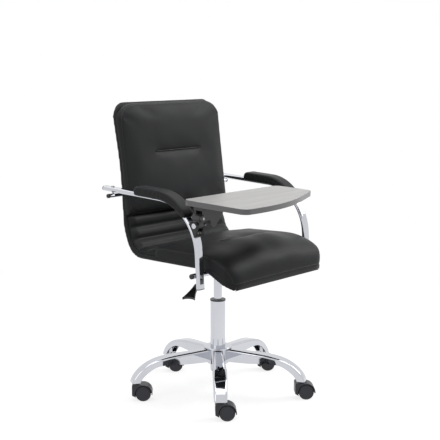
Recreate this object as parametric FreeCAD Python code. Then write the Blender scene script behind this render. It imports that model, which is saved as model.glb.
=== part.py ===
import FreeCAD, Part
import math
import os

# Office swivel chair with a folding writing tablet over the sitter's lap.
# The chair faces -Y, the sitter's right is -X and +Z is up.
# The origin is on the floor under the axis of the gas lift. Lengths are millimetres, angles are degrees.

V = FreeCAD.Vector
X_AXIS = V(1, 0, 0)
Y_AXIS = V(0, 1, 0)
Z_AXIS = V(0, 0, 1)

# General clearances
overrun = 5.0
running_gap = 0.05
body_gap = 0.3
least_edge = 0.001

# Casters
caster_count = 5
wheel_radius = 25.0
wheel_width = 17.5
wheel_edge_round = 3.0
wheel_face_wall = 3.0
wheel_dish_depth = 1.2
wheel_dish_radius = 20.0
wheel_side_gap = 0.5
caster_trail = 20.0
hood_web = 9.0
hood_wheel_gap = 2.0
hood_wall = 3.0
hood_boss_height = 57.0
hood_boss_reach = 16.7
hood_boss_low = 20.0
hood_boss_round = 6.0
hood_web_eye = 9.0
hood_tip_angle = -6.0
hood_top_angle = 97.0
hood_front_angle = 205.0
axle_radius = 3.0
axle_length = 38.0
stem_radius = 5.5
stem_foot_radius = 5.0
stem_foot_depth = 16.0
stem_collar_radius = 8.0
stem_length = 18.0
caster_heading = -46.35

# Star base
star_turn = -46.87
star_reach = 281.0
star_tip_overhang = 20.5
star_tip_height = 60.5
hub_radius = 35.5
hub_low = 98.0
hub_flange_radius = 46.5
hub_flange_thickness = 5.0
hub_edge_round = 2.0
arm_root_height = 151.0
arm_root_depth = 46.0
arm_width = 46.0
arm_wall = 3.0
arm_corner_round = 8.0
socket_radius = 9.0
socket_depth = 20.0
# Each station of a base arm: share of the reach, share of the root's rise over the tip,
# share of the root's depth, lean of the section, share of the width.
arm_station_shares = (
    (0.06, 1.000, 1.00, 0.0, 0.78),
    (0.36, 0.925, 0.81, 0.0, 0.80),
    (0.60, 0.860, 0.58, 4.0, 0.96),
    (0.76, 0.735, 0.46, 26.0, 1.00),
    (0.88, 0.520, 0.50, 52.0, 0.97),
    (0.96, 0.260, 0.54, 74.0, 0.93),
    (1.00, 0.000, 0.56, 90.0, 0.90),
)

# Gas lift
column_radius = 25.0
column_wall = 1.8
column_low = 72.0
column_high = 312.0
column_floor = 4.0
bush_sleeve = 60.0
bush_flange_radius = 26.0
bush_flange_thickness = 5.0
cylinder_radius = 14.0
cylinder_wall = 1.5
cylinder_low = 215.0
cylinder_high = 447.0
cylinder_cap = 10.0
rod_radius = 4.0
rod_tail = 6.0
piston_rise = 28.0
piston_thickness = 8.0
bearing_radius = 14.0
bearing_thickness = 6.0
rod_collar_radius = 9.0
rod_collar_thickness = 4.0
clip_radius = 9.0
clip_thickness = 2.0
valve_pin_radius = 3.0
valve_pin_length = 17.5
valve_pin_stand = 3.5

# Seat mechanism and its lever
plate_width = 200.0
plate_depth = 180.0
plate_thickness = 3.0
plate_corner_round = 15.0
channel_half_width = 45.0
channel_half_depth = 70.0
channel_drop = 37.0
taper_sleeve_radius = 20.0
taper_sleeve_length = 28.0
taper_sleeve_low = cylinder_high - taper_sleeve_length
plate_bolt_inset = 20.0
plate_bolt_radius = 3.0
plate_bolt_head_radius = 6.0
plate_bolt_head_height = 4.0
plate_bolt_depth = 10.0
lever_heading = 201.0
lever_radius = 4.0
lever_slot = 6.0
lever_overlap = 3.0
lever_bend_at = 62.0
lever_bend_round = 40.0
lever_slope = 22.5
lever_neck_at = 188.0
lever_grip = 16.0
paddle_length = 76.0
paddle_neck_width = 13.0
paddle_end_width = 42.0
paddle_waist_share = 0.42
paddle_end_hollow = 7.0
paddle_thickness = 8.0

# Seat and back shell: corner points of its outer side outline and their radii
shell_thickness = 17.0
body_half_width = 237.0
seat_stand = 24.0
seat_under_z = cylinder_high + seat_stand
heel_y = 165.0
heel_round = 70.0
lumbar_reach = 37.0
lumbar_rise = 89.0
lumbar_round = 200.0
back_low_reach = 9.0
back_low_rise = 185.0
back_bend_round = 1300.0
back_high_reach = 43.0
back_high_rise = 221.0
seat_break_y = -150.0
seat_break_round = 120.0
lip_reach = 106.0
lip_drop = 52.0
lumbar_y = heel_y + lumbar_reach
lumbar_z = seat_under_z + lumbar_rise
back_bend_y = lumbar_y + back_low_reach
back_bend_z = lumbar_z + back_low_rise
back_top_y = back_bend_y + back_high_reach
back_top_z = back_bend_z + back_high_rise
lip_y = seat_break_y - lip_reach
lip_z = seat_under_z - lip_drop
back_corner_round = 56.0
seat_corner_round = 42.0

# Back cushion
back_cushion_inset = 1.5
back_cushion_high_depth = 41.0
back_cushion_front_top = back_top_y - back_cushion_high_depth
back_cushion_low_depth = 34.0
back_cushion_front_low = lumbar_y - back_cushion_low_depth
back_cushion_rise = 44.0
back_cushion_low_z = lumbar_z + back_cushion_rise
back_cushion_top_round = 14.0
back_cushion_low_round = 24.0
back_cushion_crown = 26.0
back_tuck_drop = 160.0
back_tuck_z = back_top_z - back_tuck_drop
back_tuck_half = 112.0
tuck_depth = 9.0
tuck_width = 15.0

# Seat cushion
seat_cushion_inset = 1.0
seat_cushion_rear_y = 60.0
seat_cushion_rear_rise = 43.0
seat_cushion_rear_z = seat_under_z + seat_cushion_rear_rise
seat_cushion_rear_round = 14.0
seat_cushion_break_reach = 10.0
seat_cushion_break_y = seat_break_y - seat_cushion_break_reach
seat_cushion_break_rise = 42.0
seat_cushion_break_z = seat_under_z + seat_cushion_break_rise
seat_cushion_break_round = 180.0
seat_cushion_nose_reach = 8.0
seat_cushion_nose_y = lip_y - seat_cushion_nose_reach
seat_cushion_nose_rise = 9.0
seat_cushion_nose_z = seat_under_z + seat_cushion_nose_rise
seat_cushion_nose_round = 85.0
seat_cushion_foot_reach = 12.0
seat_cushion_foot_y = lip_y - seat_cushion_foot_reach
seat_cushion_foot_drop = 34.0
seat_cushion_foot_z = seat_under_z - seat_cushion_foot_drop
seat_cushion_crown = 34.0
seat_tuck_setback = 45.0
seat_tuck_y = seat_break_y + seat_tuck_setback
seat_tuck_half = 115.0
# Places across a cushion and how much of its crown it has there
crown_station_shares = (
    (-1.00, 0.10),
    (-0.94, 0.42),
    (-0.80, 0.66),
    (-0.45, 0.93),
    (0.00, 1.00),
    (0.45, 0.93),
    (0.80, 0.66),
    (0.94, 0.42),
    (1.00, 0.10),
)

# Lumbar pad
lumbar_rib_count = 5
lumbar_rib_height = 15.0
lumbar_rib_root = 6.0
lumbar_inset = 8.0
lumbar_fade = 22.0
lumbar_fade_share = 0.45
lumbar_tail_gap = 0.5
lumbar_tail_y = seat_cushion_rear_y + lumbar_tail_gap

# Arm tubes: corner points of the centre line
tube_width = 30.0
arm_clearance = 15.0
arm_centre_x = body_half_width + arm_clearance + tube_width / 2
tube_thickness = 15.0
tube_wall = 1.5
tube_rear_y = 246.0
tube_rear_rise = 223.0
tube_rear_z = seat_under_z + tube_rear_rise
tube_corner_y = -151.4
tube_corner_rise = 203.6
tube_corner_z = seat_under_z + tube_corner_rise
tube_bend_round = 165.0
tube_low_y = -166.0
tube_low_drop = 49.0
tube_low_z = seat_under_z - tube_low_drop
cap_thickness = 2.5

# Arm pads
pad_width = 50.0
pad_height = 28.5
pad_tip_height = 15.0
pad_edge_round = 7.0
pad_rear_y = 97.0
pad_rear_round = 15.0
pad_lap = 2.0
pad_tip_angle = 47.0

# Cross bars behind the back and under the seat
rear_bar_radius = 7.0
rear_bar_drop = 22.0
rear_bar_z = tube_rear_z - rear_bar_drop
lower_bar_radius = 8.0
lower_bar_drop = 11.4
lower_bar_z = seat_under_z - lower_bar_drop
bar_overhang = 16.0
bar_half_length = arm_centre_x + bar_overhang
plug_length = 8.0
plug_round = 3.0
bar_screw_radius = 3.0
bar_screw_head_radius = 5.5
bar_screw_head_height = 3.0

# Tablet mechanism
tilt_axis_y = -160.0
tilt_axis_drop = 59.6
tilt_axis_z = tube_corner_z - tilt_axis_drop
clamp_width = 36.0
clamp_thickness = 8.0
clamp_low_angle = 21.0
clamp_high_angle = 36.0
ear_thickness = 8.0
eye_radius = 11.0
tilt_bolt_radius = 4.0
tilt_bolt_head_radius = 8.0
tilt_bolt_head_height = 5.0
clamp_screw_radius = 2.5
clamp_screw_head_radius = 4.2
clamp_screw_head_height = 2.5
clamp_screw_reach = 14.0
clamp_screw_angle = 24.5
clamp_screw_spread = 5.5
fold_axis_rise = 22.0
fold_eye_radius = 12.0
fold_eye_length = 24.0
fold_pin_radius = 4.0
fold_ear_thickness = 7.5
fold_ear_reach = 29.0
fold_ear_drop = 7.0
strut_thickness = 10.0
strut_start_reach = 23.0
strut_elbow_reach = 43.0
strut_elbow_drop = 34.0
strut_elbow_round = 14.0
strut_end_reach = 96.0
strut_web_thickness = 3.0
bracket_width = 118.0
bracket_depth = 70.0
bracket_height = 16.0
bracket_overhang = 6.0
bracket_round = 10.0
bracket_foot_share = 0.76
tablet_slope = 1.72

# Writing tablet: corner points of its plan and their radii
board_thickness = 16.0
board_top_rise = 77.7
board_overhang = 37.0
board_right_x = -arm_centre_x - board_overhang
board_width = 455.0
board_left_x = board_right_x + board_width
board_rear_y = -124.0
board_left_front_y = -268.0
board_bow_reach = 183.0
board_bow_x = board_right_x + board_bow_reach
board_bow_y = -383.0
board_right_front_y = -370.0
board_rear_right_round = 25.0
board_rear_left_round = 22.0
board_left_front_round = 32.0
board_bow_round = 640.0
board_right_front_round = 24.0
band_thickness = 1.5
tablet_screw_radius = 2.0
tablet_screw_head_radius = 4.0
tablet_screw_head_height = 2.0
tablet_screw_depth = 11.0
tablet_screw_inset = 9.0


def line(start, end):
    return Part.LineSegment(start, end).toShape()


def corner_arc(before, corner, after, radius):
    """Start, middle and end of the arc that rounds one corner."""
    inward = (before - corner).normalize()
    onward = (after - corner).normalize()
    half_angle = inward.getAngle(onward) / 2
    setback = radius / math.tan(half_angle)
    bisector = (inward + onward).normalize()
    middle = corner + bisector * (radius / math.sin(half_angle) - radius)
    return corner + inward * setback, middle, corner + onward * setback


def leaving_arc(start, along, end):
    """The arc that leaves a line's end smoothly and comes to another place."""
    chord = end - start
    across = (chord - along * chord.dot(along)).normalize()
    radius = chord.dot(chord) / (2 * chord.dot(across))
    centre = start + across * radius
    middle = centre + (start + end - centre * 2).normalize() * radius
    return Part.Arc(start, middle, end).toShape()


def rounded_run(points, radii):
    """Edges of an open run of lines with its inner corners rounded."""
    edges = []
    start = points[0]
    for before, corner, after, radius in zip(points, points[1:], points[2:], radii):
        arc_start, middle, arc_end = corner_arc(before, corner, after, radius)
        edges.append(line(start, arc_start))
        edges.append(Part.Arc(arc_start, middle, arc_end).toShape())
        start = arc_end
    edges.append(line(start, points[-1]))
    return edges


def rounded_loop(points, radii):
    """Closed wire through corner points, each rounded by its radius, where zero leaves it sharp."""
    count = len(points)
    stops = []
    for index, radius in enumerate(radii):
        corner = points[index]
        if radius > 0:
            stops.append(corner_arc(points[index - 1], corner, points[(index + 1) % count], radius))
        else:
            stops.append((corner, corner, corner))
    edges = []
    for index, (arc_start, middle, arc_end) in enumerate(stops):
        if radii[index] > 0:
            edges.append(Part.Arc(arc_start, middle, arc_end).toShape())
        next_start = stops[(index + 1) % count][0]
        if arc_end.distanceToPoint(next_start) > least_edge:
            edges.append(line(arc_end, next_start))
    return Part.Wire(edges)


def offset_run(points, distance):
    """Corner points of a run in the YZ plane moved sideways, to the left of its direction."""
    normals = []
    for start, end in zip(points, points[1:]):
        along = (end - start).normalize()
        normals.append(V(0, -along.z, along.y))
    moved = [points[0] + normals[0] * distance]
    for corner, first, second in zip(points[1:], normals, normals[1:]):
        moved.append(corner + (first + second) * (distance / (1 + first.dot(second))))
    moved.append(points[-1] + normals[-1] * distance)
    return moved


def prism(wire, along):
    return Part.Face(wire).extrude(along)


def side_prism(wire, low_x, high_x):
    """A side outline drawn at x = 0, stretched from one x to another."""
    solid = prism(wire, X_AXIS * (high_x - low_x))
    solid.translate(X_AXIS * low_x)
    return solid


def rod(radius, start, end):
    along = end - start
    return Part.makeCylinder(radius, along.Length, start, along)


def tube(outer_radius, inner_radius, start, end):
    return rod(outer_radius, start, end).cut(rod(inner_radius, start, end))


def at_height(z):
    return V(0, 0, z)


def turned(profile, radii):
    """A body turned about Z from a closed outline of (radius, height) points."""
    wire = rounded_loop([V(r, 0, z) for r, z in profile], radii)
    return Part.Face(wire).revolve(V(0, 0, 0), Z_AXIS, 360)


def placed(shape, heading, position):
    moved = shape.copy()
    moved.rotate(V(0, 0, 0), Z_AXIS, heading)
    moved.translate(position)
    return moved


def mirrored(shape):
    return shape.mirror(V(0, 0, 0), X_AXIS)


def swung(point, heading):
    """A point turned about Z."""
    return FreeCAD.Rotation(Z_AXIS, heading).multVec(point)


# Casters, each drawn with its stem on Z and trailing towards +X

def caster_hood():
    """Shroud over both wheels, the web between them and the boss that holds the stem."""
    cavity_radius = wheel_radius + hood_wheel_gap
    shroud_radius = cavity_radius + hood_wall
    half_width = hood_web / 2 + wheel_side_gap + wheel_width
    centre = V(caster_trail, 0, wheel_radius)

    def around(radius, degrees):
        angle = math.radians(degrees)
        return centre + V(radius * math.cos(angle), 0, radius * math.sin(angle))

    boss_top = hood_boss_height
    shroud_middle = around(shroud_radius, (hood_tip_angle + hood_top_angle) / 2)
    shroud_end = around(shroud_radius, hood_top_angle)
    front_top = V(-hood_boss_reach, 0, boss_top)
    front_low = V(-hood_boss_reach, 0, hood_boss_low)
    rear_tip = around(shroud_radius, hood_tip_angle)
    edges = [
        Part.Arc(rear_tip, shroud_middle, shroud_end).toShape(),
        line(shroud_end, V(caster_trail / 2, 0, boss_top)),
        line(V(caster_trail / 2, 0, boss_top), V(-hood_boss_reach + hood_boss_round, 0, boss_top)),
    ]
    top_arc = corner_arc(V(0, 0, boss_top), front_top, front_low, hood_boss_round)
    low_end = around(cavity_radius, hood_front_angle)
    edges.append(Part.Arc(*top_arc).toShape())
    edges.append(line(top_arc[2], front_low))
    edges.append(line(front_low, low_end))
    edges.append(line(low_end, centre))
    edges.append(line(centre, rear_tip))
    hood = prism(Part.Wire(edges), Y_AXIS * (2 * half_width))
    hood.translate(Y_AXIS * -half_width)
    web_face = Y_AXIS * (hood_web / 2)
    eye = rod(hood_web_eye, centre - web_face, centre + web_face)
    hood = hood.fuse(eye)
    for side in (-1, 1):
        start = centre + web_face * side
        end = centre + Y_AXIS * (side * (half_width + overrun))
        hood = hood.cut(rod(cavity_radius, start, end))
    stem_foot = rod(stem_foot_radius, at_height(boss_top - stem_foot_depth), at_height(boss_top + overrun))
    axle = rod(axle_radius, centre - web_face, centre + web_face)
    return hood.cut(stem_foot).cut(axle).removeSplitter()


def caster_pins():
    """The stem with its collar, and the axle that carries both wheels."""
    collar_top = star_tip_height - body_gap
    boss_top = at_height(hood_boss_height)
    stem = rod(stem_foot_radius, boss_top - at_height(stem_foot_depth), boss_top)
    stem = stem.fuse(rod(stem_collar_radius, at_height(hood_boss_height), at_height(collar_top)))
    stem = stem.fuse(rod(stem_radius, at_height(collar_top), at_height(collar_top + stem_length)))
    middle = V(caster_trail, 0, wheel_radius)
    half = Y_AXIS * (axle_length / 2)
    return Part.makeCompound([stem.removeSplitter(), rod(axle_radius, middle - half, middle + half)])


def caster_wheel(side):
    """A moulded wheel with a blind bore, a hollow back and a shallow dish in its face."""
    bore_radius = axle_radius + running_gap
    hub_wall = axle_radius
    rim_inner = wheel_radius - wheel_face_wall * 1.5
    hollow = wheel_width - wheel_face_wall * 2
    profile = (
        (0, wheel_width - wheel_dish_depth),
        (wheel_dish_radius, wheel_width - wheel_dish_depth),
        (wheel_dish_radius + wheel_dish_depth, wheel_width),
        (wheel_radius, wheel_width),
        (wheel_radius, 0),
        (rim_inner, 0),
        (rim_inner, hollow),
        (bore_radius + hub_wall, hollow),
        (bore_radius + hub_wall, 0),
        (bore_radius, 0),
        (bore_radius, axle_length / 2 - hood_web / 2 - wheel_side_gap + body_gap),
        (0, axle_length / 2 - hood_web / 2 - wheel_side_gap + body_gap),
    )
    radii = (0, 0, 0, wheel_edge_round, wheel_edge_round / 2, 0, 0, 0, 0, 0, 0, 0)
    wheel = turned(profile, radii)
    wheel.rotate(V(0, 0, 0), X_AXIS, -90)
    wheel.translate(Y_AXIS * (hood_web / 2 + wheel_side_gap))
    if side < 0:
        wheel = wheel.mirror(V(0, 0, 0), Y_AXIS)
    wheel.translate(V(caster_trail, 0, wheel_radius))
    return wheel


def add_casters(pieces):
    parts = {
        "hood": caster_hood(),
        "pins": caster_pins(),
        "wheel_left": caster_wheel(1),
        "wheel_right": caster_wheel(-1),
    }
    for number in range(caster_count):
        spot = swung(V(star_reach, 0, 0), star_turn - 90 + 360 / caster_count * number)
        for name, shape in parts.items():
            pieces["caster_%d_%s" % (number + 1, name)] = placed(shape, caster_heading, spot)


# Star base and gas lift

def hub():
    flange_low = arm_root_height + body_gap
    flange_high = flange_low + hub_flange_thickness
    profile = (
        (column_radius, hub_low),
        (hub_radius, hub_low),
        (hub_radius, flange_low),
        (hub_flange_radius, flange_low),
        (hub_flange_radius, flange_high),
        (column_radius, flange_high),
    )
    return turned(profile, (0, hub_edge_round, 0, 0, hub_edge_round, 0))


def arm_section(shares, inner):
    """Outline of a base arm across one station: the outer skin, or the hollow under it."""
    reach_share, rise_share, depth_share, lean, width_share = shares
    tip = star_reach + star_tip_overhang
    top = V(tip * reach_share, 0, star_tip_height + (arm_root_height - star_tip_height) * rise_share)
    lean_angle = math.radians(lean)
    down = V(-math.sin(lean_angle), 0, -math.cos(lean_angle))
    half = arm_width * width_share / 2
    depth = arm_root_depth * depth_share
    corner = arm_corner_round
    if inner:
        top = top + down * arm_wall
        half = half - arm_wall
        corner = arm_corner_round - arm_wall
    low = top + down * depth
    points = [low - Y_AXIS * half, top - Y_AXIS * half, top + Y_AXIS * half, low + Y_AXIS * half]
    return rounded_loop(points, (0, corner, corner, 0))


def base_arm():
    """A pressed channel, open below, that bends down to the caster socket."""
    outer = Part.makeLoft([arm_section(shares, False) for shares in arm_station_shares], True)
    inner = Part.makeLoft([arm_section(shares, True) for shares in arm_station_shares], True)
    stem_line = star_reach * X_AXIS
    low = stem_line + at_height(star_tip_height)
    socket = rod(socket_radius, low, low + at_height(arm_root_height)).common(outer)
    tip_floor = Part.makeBox(
        star_reach * 2, arm_width * 2, star_tip_height, V(0, -arm_width, 0)
    )
    core = rod(hub_radius, V(0, 0, 0), at_height(arm_root_height + overrun))
    arm = outer.cut(inner).fuse(socket).cut(tip_floor).cut(core)
    return arm.cut(rod(stem_radius + running_gap, low, low + at_height(socket_depth)))


def column_tube():
    low = at_height(column_low)
    inner = column_radius - column_wall
    body = rod(column_radius, low, at_height(column_high))
    body = body.cut(rod(inner, low + at_height(column_floor), at_height(column_high)))
    return body.cut(rod(rod_radius + running_gap, low, low + at_height(column_floor)))


def guide_bush():
    high = at_height(column_high)
    flange = high + at_height(bush_flange_thickness)
    sleeve = rod(column_radius - column_wall, high - at_height(bush_sleeve), high)
    body = sleeve.fuse(rod(bush_flange_radius, high, flange))
    bore = rod(cylinder_radius + running_gap, high - at_height(bush_sleeve), flange)
    return body.cut(bore).removeSplitter()


def thrust_bearing():
    low = at_height(column_low + column_floor)
    return tube(bearing_radius, rod_radius + running_gap, low, low + at_height(bearing_thickness))


def piston_rod():
    """The rod stands on the thrust bearing and carries the piston inside the lift cylinder."""
    foot = at_height(column_low - rod_tail)
    collar = at_height(column_low + column_floor + bearing_thickness)
    head = at_height(cylinder_low + piston_rise)
    body = rod(rod_radius, foot, head)
    body = body.fuse(rod(rod_collar_radius, collar, collar + at_height(rod_collar_thickness)))
    piston_radius = cylinder_radius - cylinder_wall - running_gap
    return body.fuse(rod(piston_radius, head, head + at_height(piston_thickness))).removeSplitter()


def rod_clip():
    high = at_height(column_low - body_gap)
    return tube(clip_radius, rod_radius, high - at_height(clip_thickness), high)


def lift_cylinder():
    low = at_height(cylinder_low)
    high = at_height(cylinder_high)
    body = rod(cylinder_radius, low, high)
    hollow_low = low + at_height(cylinder_cap)
    hollow = rod(cylinder_radius - cylinder_wall, hollow_low, high - at_height(cylinder_cap))
    body = body.cut(hollow).cut(rod(rod_radius + running_gap, low, hollow_low))
    return body.cut(rod(valve_pin_radius + running_gap, high - at_height(cylinder_cap), high))


def valve_pin_top():
    return cylinder_high + valve_pin_stand


def valve_pin():
    top = at_height(valve_pin_top())
    return rod(valve_pin_radius, top - at_height(valve_pin_length), top)


# Seat mechanism and lever

def lever_height():
    return valve_pin_top() + body_gap + lever_radius


def bolt_places():
    across = plate_width / 2 - plate_bolt_inset
    deep = plate_depth / 2 - plate_bolt_inset
    return [(x, y) for x in (-across, across) for y in (-deep, deep)]


def mechanism_bolts():
    bolts = []
    plate_low = seat_under_z - plate_thickness
    for x, y in bolt_places():
        head = rod(plate_bolt_head_radius, V(x, y, plate_low - plate_bolt_head_height), V(x, y, plate_low))
        shank = rod(plate_bolt_radius, V(x, y, plate_low), V(x, y, seat_under_z + plate_bolt_depth))
        bolts.append(head.fuse(shank).removeSplitter())
    return Part.makeCompound(bolts)


def mechanism_plate():
    """A flat plate with a folded channel under it, which carries the sleeve for the lift cylinder."""
    half_w = plate_width / 2
    half_d = plate_depth / 2
    low = seat_under_z - plate_thickness
    outline = rounded_plan(-half_w, half_w, -half_d, half_d, low, plate_corner_round)
    body = prism(outline, Z_AXIS * plate_thickness)
    outer = Part.makeBox(
        channel_half_width * 2, channel_half_depth * 2, channel_drop,
        V(-channel_half_width, -channel_half_depth, low - channel_drop),
    )
    inner_half = channel_half_width - plate_thickness
    inner = Part.makeBox(
        inner_half * 2, channel_half_depth * 2, channel_drop - plate_thickness,
        V(-inner_half, -channel_half_depth, low - channel_drop + plate_thickness),
    )
    body = body.fuse(outer.cut(inner))
    body = body.fuse(rod(taper_sleeve_radius, at_height(taper_sleeve_low), at_height(cylinder_high)))
    body = body.cut(rod(cylinder_radius, at_height(taper_sleeve_low), at_height(cylinder_high)))
    wall_reach = channel_half_width / math.cos(math.radians(lever_heading - 180))
    wall = swung(V(wall_reach, 0, lever_height()), lever_heading)
    reach = X_AXIS * (plate_thickness * 2)
    body = body.cut(rod(lever_slot, wall - reach, wall + reach))
    return body.cut(mechanism_bolts()).removeSplitter()


def lever_point(distance, z):
    return swung(V(distance, 0, z), lever_heading)


def lever_drop(distance):
    """Height of the lever's sloping part at a distance from the column's axis."""
    return lever_height() - (distance - lever_bend_at) * math.tan(math.radians(lever_slope))


def lever_rod():
    start = lever_point(-lever_overlap, lever_height())
    bend = lever_point(lever_bend_at, lever_height())
    end_at = lever_neck_at + lever_grip
    end = lever_point(end_at, lever_drop(end_at))
    path = Part.Wire(rounded_run([start, bend, end], [lever_bend_round]))
    along = (bend - start).normalize()
    profile = Part.Wire(Part.makeCircle(lever_radius, start, along))
    return path.makePipeShell([profile], True, True)


def lever_paddle():
    """A flared, hollow-ended grip, drawn flat towards +X and then laid along the sloping rod."""
    neck = paddle_neck_width / 2
    end = paddle_end_width / 2
    waist = neck + (end - neck) * paddle_waist_share / 2
    waist_x = paddle_length * paddle_waist_share
    half_thick = paddle_thickness / 2
    edges = [
        line(V(0, neck, 0), V(0, -neck, 0)),
        Part.Arc(V(0, -neck, 0), V(waist_x, -waist, 0), V(paddle_length, -end, 0)).toShape(),
        Part.Arc(
            V(paddle_length, -end, 0), V(paddle_length - paddle_end_hollow, 0, 0), V(paddle_length, end, 0)
        ).toShape(),
        Part.Arc(V(paddle_length, end, 0), V(waist_x, waist, 0), V(0, neck, 0)).toShape(),
    ]
    blade = prism(Part.Wire(edges), Z_AXIS * paddle_thickness)
    blade.translate(Z_AXIS * -half_thick)
    grip_end = X_AXIS * lever_grip
    blade = blade.fuse(rod(neck, V(0, 0, 0), grip_end + X_AXIS * half_thick))
    blade.rotate(V(0, 0, 0), Y_AXIS, lever_slope)
    start = V(lever_neck_at, 0, lever_drop(lever_neck_at))
    blade.translate(start)
    blade.rotate(V(0, 0, 0), Z_AXIS, lever_heading)
    return blade.cut(lever_rod()).removeSplitter()


# Seat and back

def shell_run():
    return [
        V(0, back_top_y, back_top_z),
        V(0, back_bend_y, back_bend_z),
        V(0, lumbar_y, lumbar_z),
        V(0, heel_y, seat_under_z),
        V(0, seat_break_y, seat_under_z),
        V(0, lip_y, lip_z),
    ]


def shell_radii(offset):
    """Corner radii of the shell's outline moved inward, where the hollow bends open and the others close."""
    return [
        back_bend_round + offset,
        lumbar_round - offset,
        heel_round - offset,
        seat_break_round + offset,
    ]


def shell_strip(inner_offset, outer_offset):
    """Side outline of a layer of the shell between two offsets from its outer line."""
    outer_points = offset_run(shell_run(), -outer_offset)
    inner_points = offset_run(shell_run(), -inner_offset)
    outer = rounded_run(outer_points, shell_radii(outer_offset))
    inner = rounded_run(list(reversed(inner_points)), list(reversed(shell_radii(inner_offset))))
    closing = [line(outer_points[-1], inner_points[-1]), line(inner_points[0], outer_points[0])]
    return Part.Wire(outer + closing[:1] + inner + closing[1:])


def front_outline(inset, top):
    """Front view of the back with its rounded upper corners, as a block through the whole depth."""
    half = body_half_width - inset
    depth = back_top_y - lip_y + body_half_width
    corners = [V(-half, 0, 0), V(half, 0, 0), V(half, 0, top), V(-half, 0, top)]
    block = prism(rounded_loop(corners, (0, 0, back_corner_round, back_corner_round)), Y_AXIS * (2 * depth))
    block.translate(Y_AXIS * -depth)
    return block


def plan_outline(inset, front_y):
    """Plan of the seat with its rounded front corners, as a block through the whole height."""
    half = body_half_width - inset
    rear_y = back_top_y + body_half_width
    corners = [V(-half, front_y, 0), V(half, front_y, 0), V(half, rear_y, 0), V(-half, rear_y, 0)]
    return prism(
        rounded_loop(corners, (seat_corner_round, seat_corner_round, 0, 0)), Z_AXIS * (2 * back_top_z)
    )


def shell_top_z():
    return max(point.z for point in offset_run(shell_run(), -shell_thickness))


def shell_nose_y():
    return min(point.y for point in offset_run(shell_run(), -shell_thickness))


def outer_shell():
    body = side_prism(shell_strip(shell_thickness, 0), -body_half_width, body_half_width)
    body = body.common(front_outline(0, shell_top_z())).common(plan_outline(0, shell_nose_y()))
    return body.cut(mechanism_bolts()).removeSplitter()


def shell_cutter():
    """Everything from the shell's sitting face outwards, which trims what lies on it."""
    wide = body_half_width + overrun
    return side_prism(shell_strip(shell_thickness, -shell_thickness * 4), -wide, wide)


def crowned_loft(section, half_width):
    """Loft across the seat through side outlines whose crown grows from the sides to the middle."""
    wires = []
    for place, crown_share in crown_station_shares:
        wire = section(crown_share)
        wire.translate(X_AXIS * (half_width * place))
        wires.append(wire)
    return Part.makeLoft(wires, True)


def tuck(middle, half_length, outward):
    """A sewn tuck: a wedge across the seat, with its edge sunk below the surface."""
    across = X_AXIS.cross(outward).normalize()
    half_open = across * (tuck_width / 2)
    lift = outward * tuck_width
    corners = [
        middle - outward * tuck_depth,
        middle + half_open + lift,
        middle - half_open + lift,
    ]
    wedge = prism(rounded_loop(corners, (0, 0, 0)), X_AXIS * (2 * half_length))
    wedge.translate(X_AXIS * -half_length)
    return wedge


def back_section(crown_share):
    crown = back_cushion_crown * crown_share
    top = shell_top_z() - back_cushion_inset
    corners = [
        V(0, back_top_y - shell_thickness + back_cushion_inset, top),
        V(0, back_cushion_front_top - crown / 2, top),
        V(0, back_cushion_front_low - crown, back_cushion_low_z),
        V(0, lumbar_y, back_cushion_low_z),
    ]
    return rounded_loop(corners, (0, back_cushion_top_round, back_cushion_low_round, 0))


def back_front_y(z):
    """The middle of the back cushion's front at a height."""
    top = shell_top_z() - back_cushion_inset
    share = (z - back_cushion_low_z) / (top - back_cushion_low_z)
    low_y = back_cushion_front_low - back_cushion_crown
    high_y = back_cushion_front_top - back_cushion_crown / 2
    return low_y + (high_y - low_y) * share


def back_cushion():
    body = crowned_loft(back_section, body_half_width - back_cushion_inset)
    body = body.common(front_outline(back_cushion_inset, shell_top_z() - back_cushion_inset))
    body = body.cut(shell_cutter())
    middle = V(0, back_front_y(back_tuck_z), back_tuck_z)
    return body.cut(tuck(middle, back_tuck_half, -Y_AXIS))


def seat_section(crown_share):
    crown = seat_cushion_crown * crown_share
    corners = [
        V(0, seat_cushion_rear_y, seat_under_z),
        V(0, seat_cushion_rear_y, seat_cushion_rear_z + crown / 2),
        V(0, seat_cushion_break_y, seat_cushion_break_z + crown),
        V(0, seat_cushion_nose_y, seat_cushion_nose_z + crown),
        V(0, seat_cushion_foot_y, seat_cushion_foot_z),
        V(0, shell_nose_y(), lip_z),
        V(0, seat_break_y, lip_z),
    ]
    radii = (0, seat_cushion_rear_round, seat_cushion_break_round, seat_cushion_nose_round, 0, 0, 0)
    return rounded_loop(corners, radii)


def seat_top_z(y):
    """The middle of the seat cushion's top at a depth."""
    rear_z = seat_cushion_rear_z + seat_cushion_crown / 2
    front_z = seat_cushion_break_z + seat_cushion_crown
    share = (y - seat_cushion_rear_y) / (seat_cushion_break_y - seat_cushion_rear_y)
    return rear_z + (front_z - rear_z) * share


def seat_cushion():
    body = crowned_loft(seat_section, body_half_width - seat_cushion_inset)
    body = body.common(plan_outline(seat_cushion_inset, seat_cushion_foot_y)).cut(shell_cutter())
    middle = V(0, seat_tuck_y, seat_top_z(seat_tuck_y))
    return body.cut(tuck(middle, seat_tuck_half, Z_AXIS))


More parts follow.
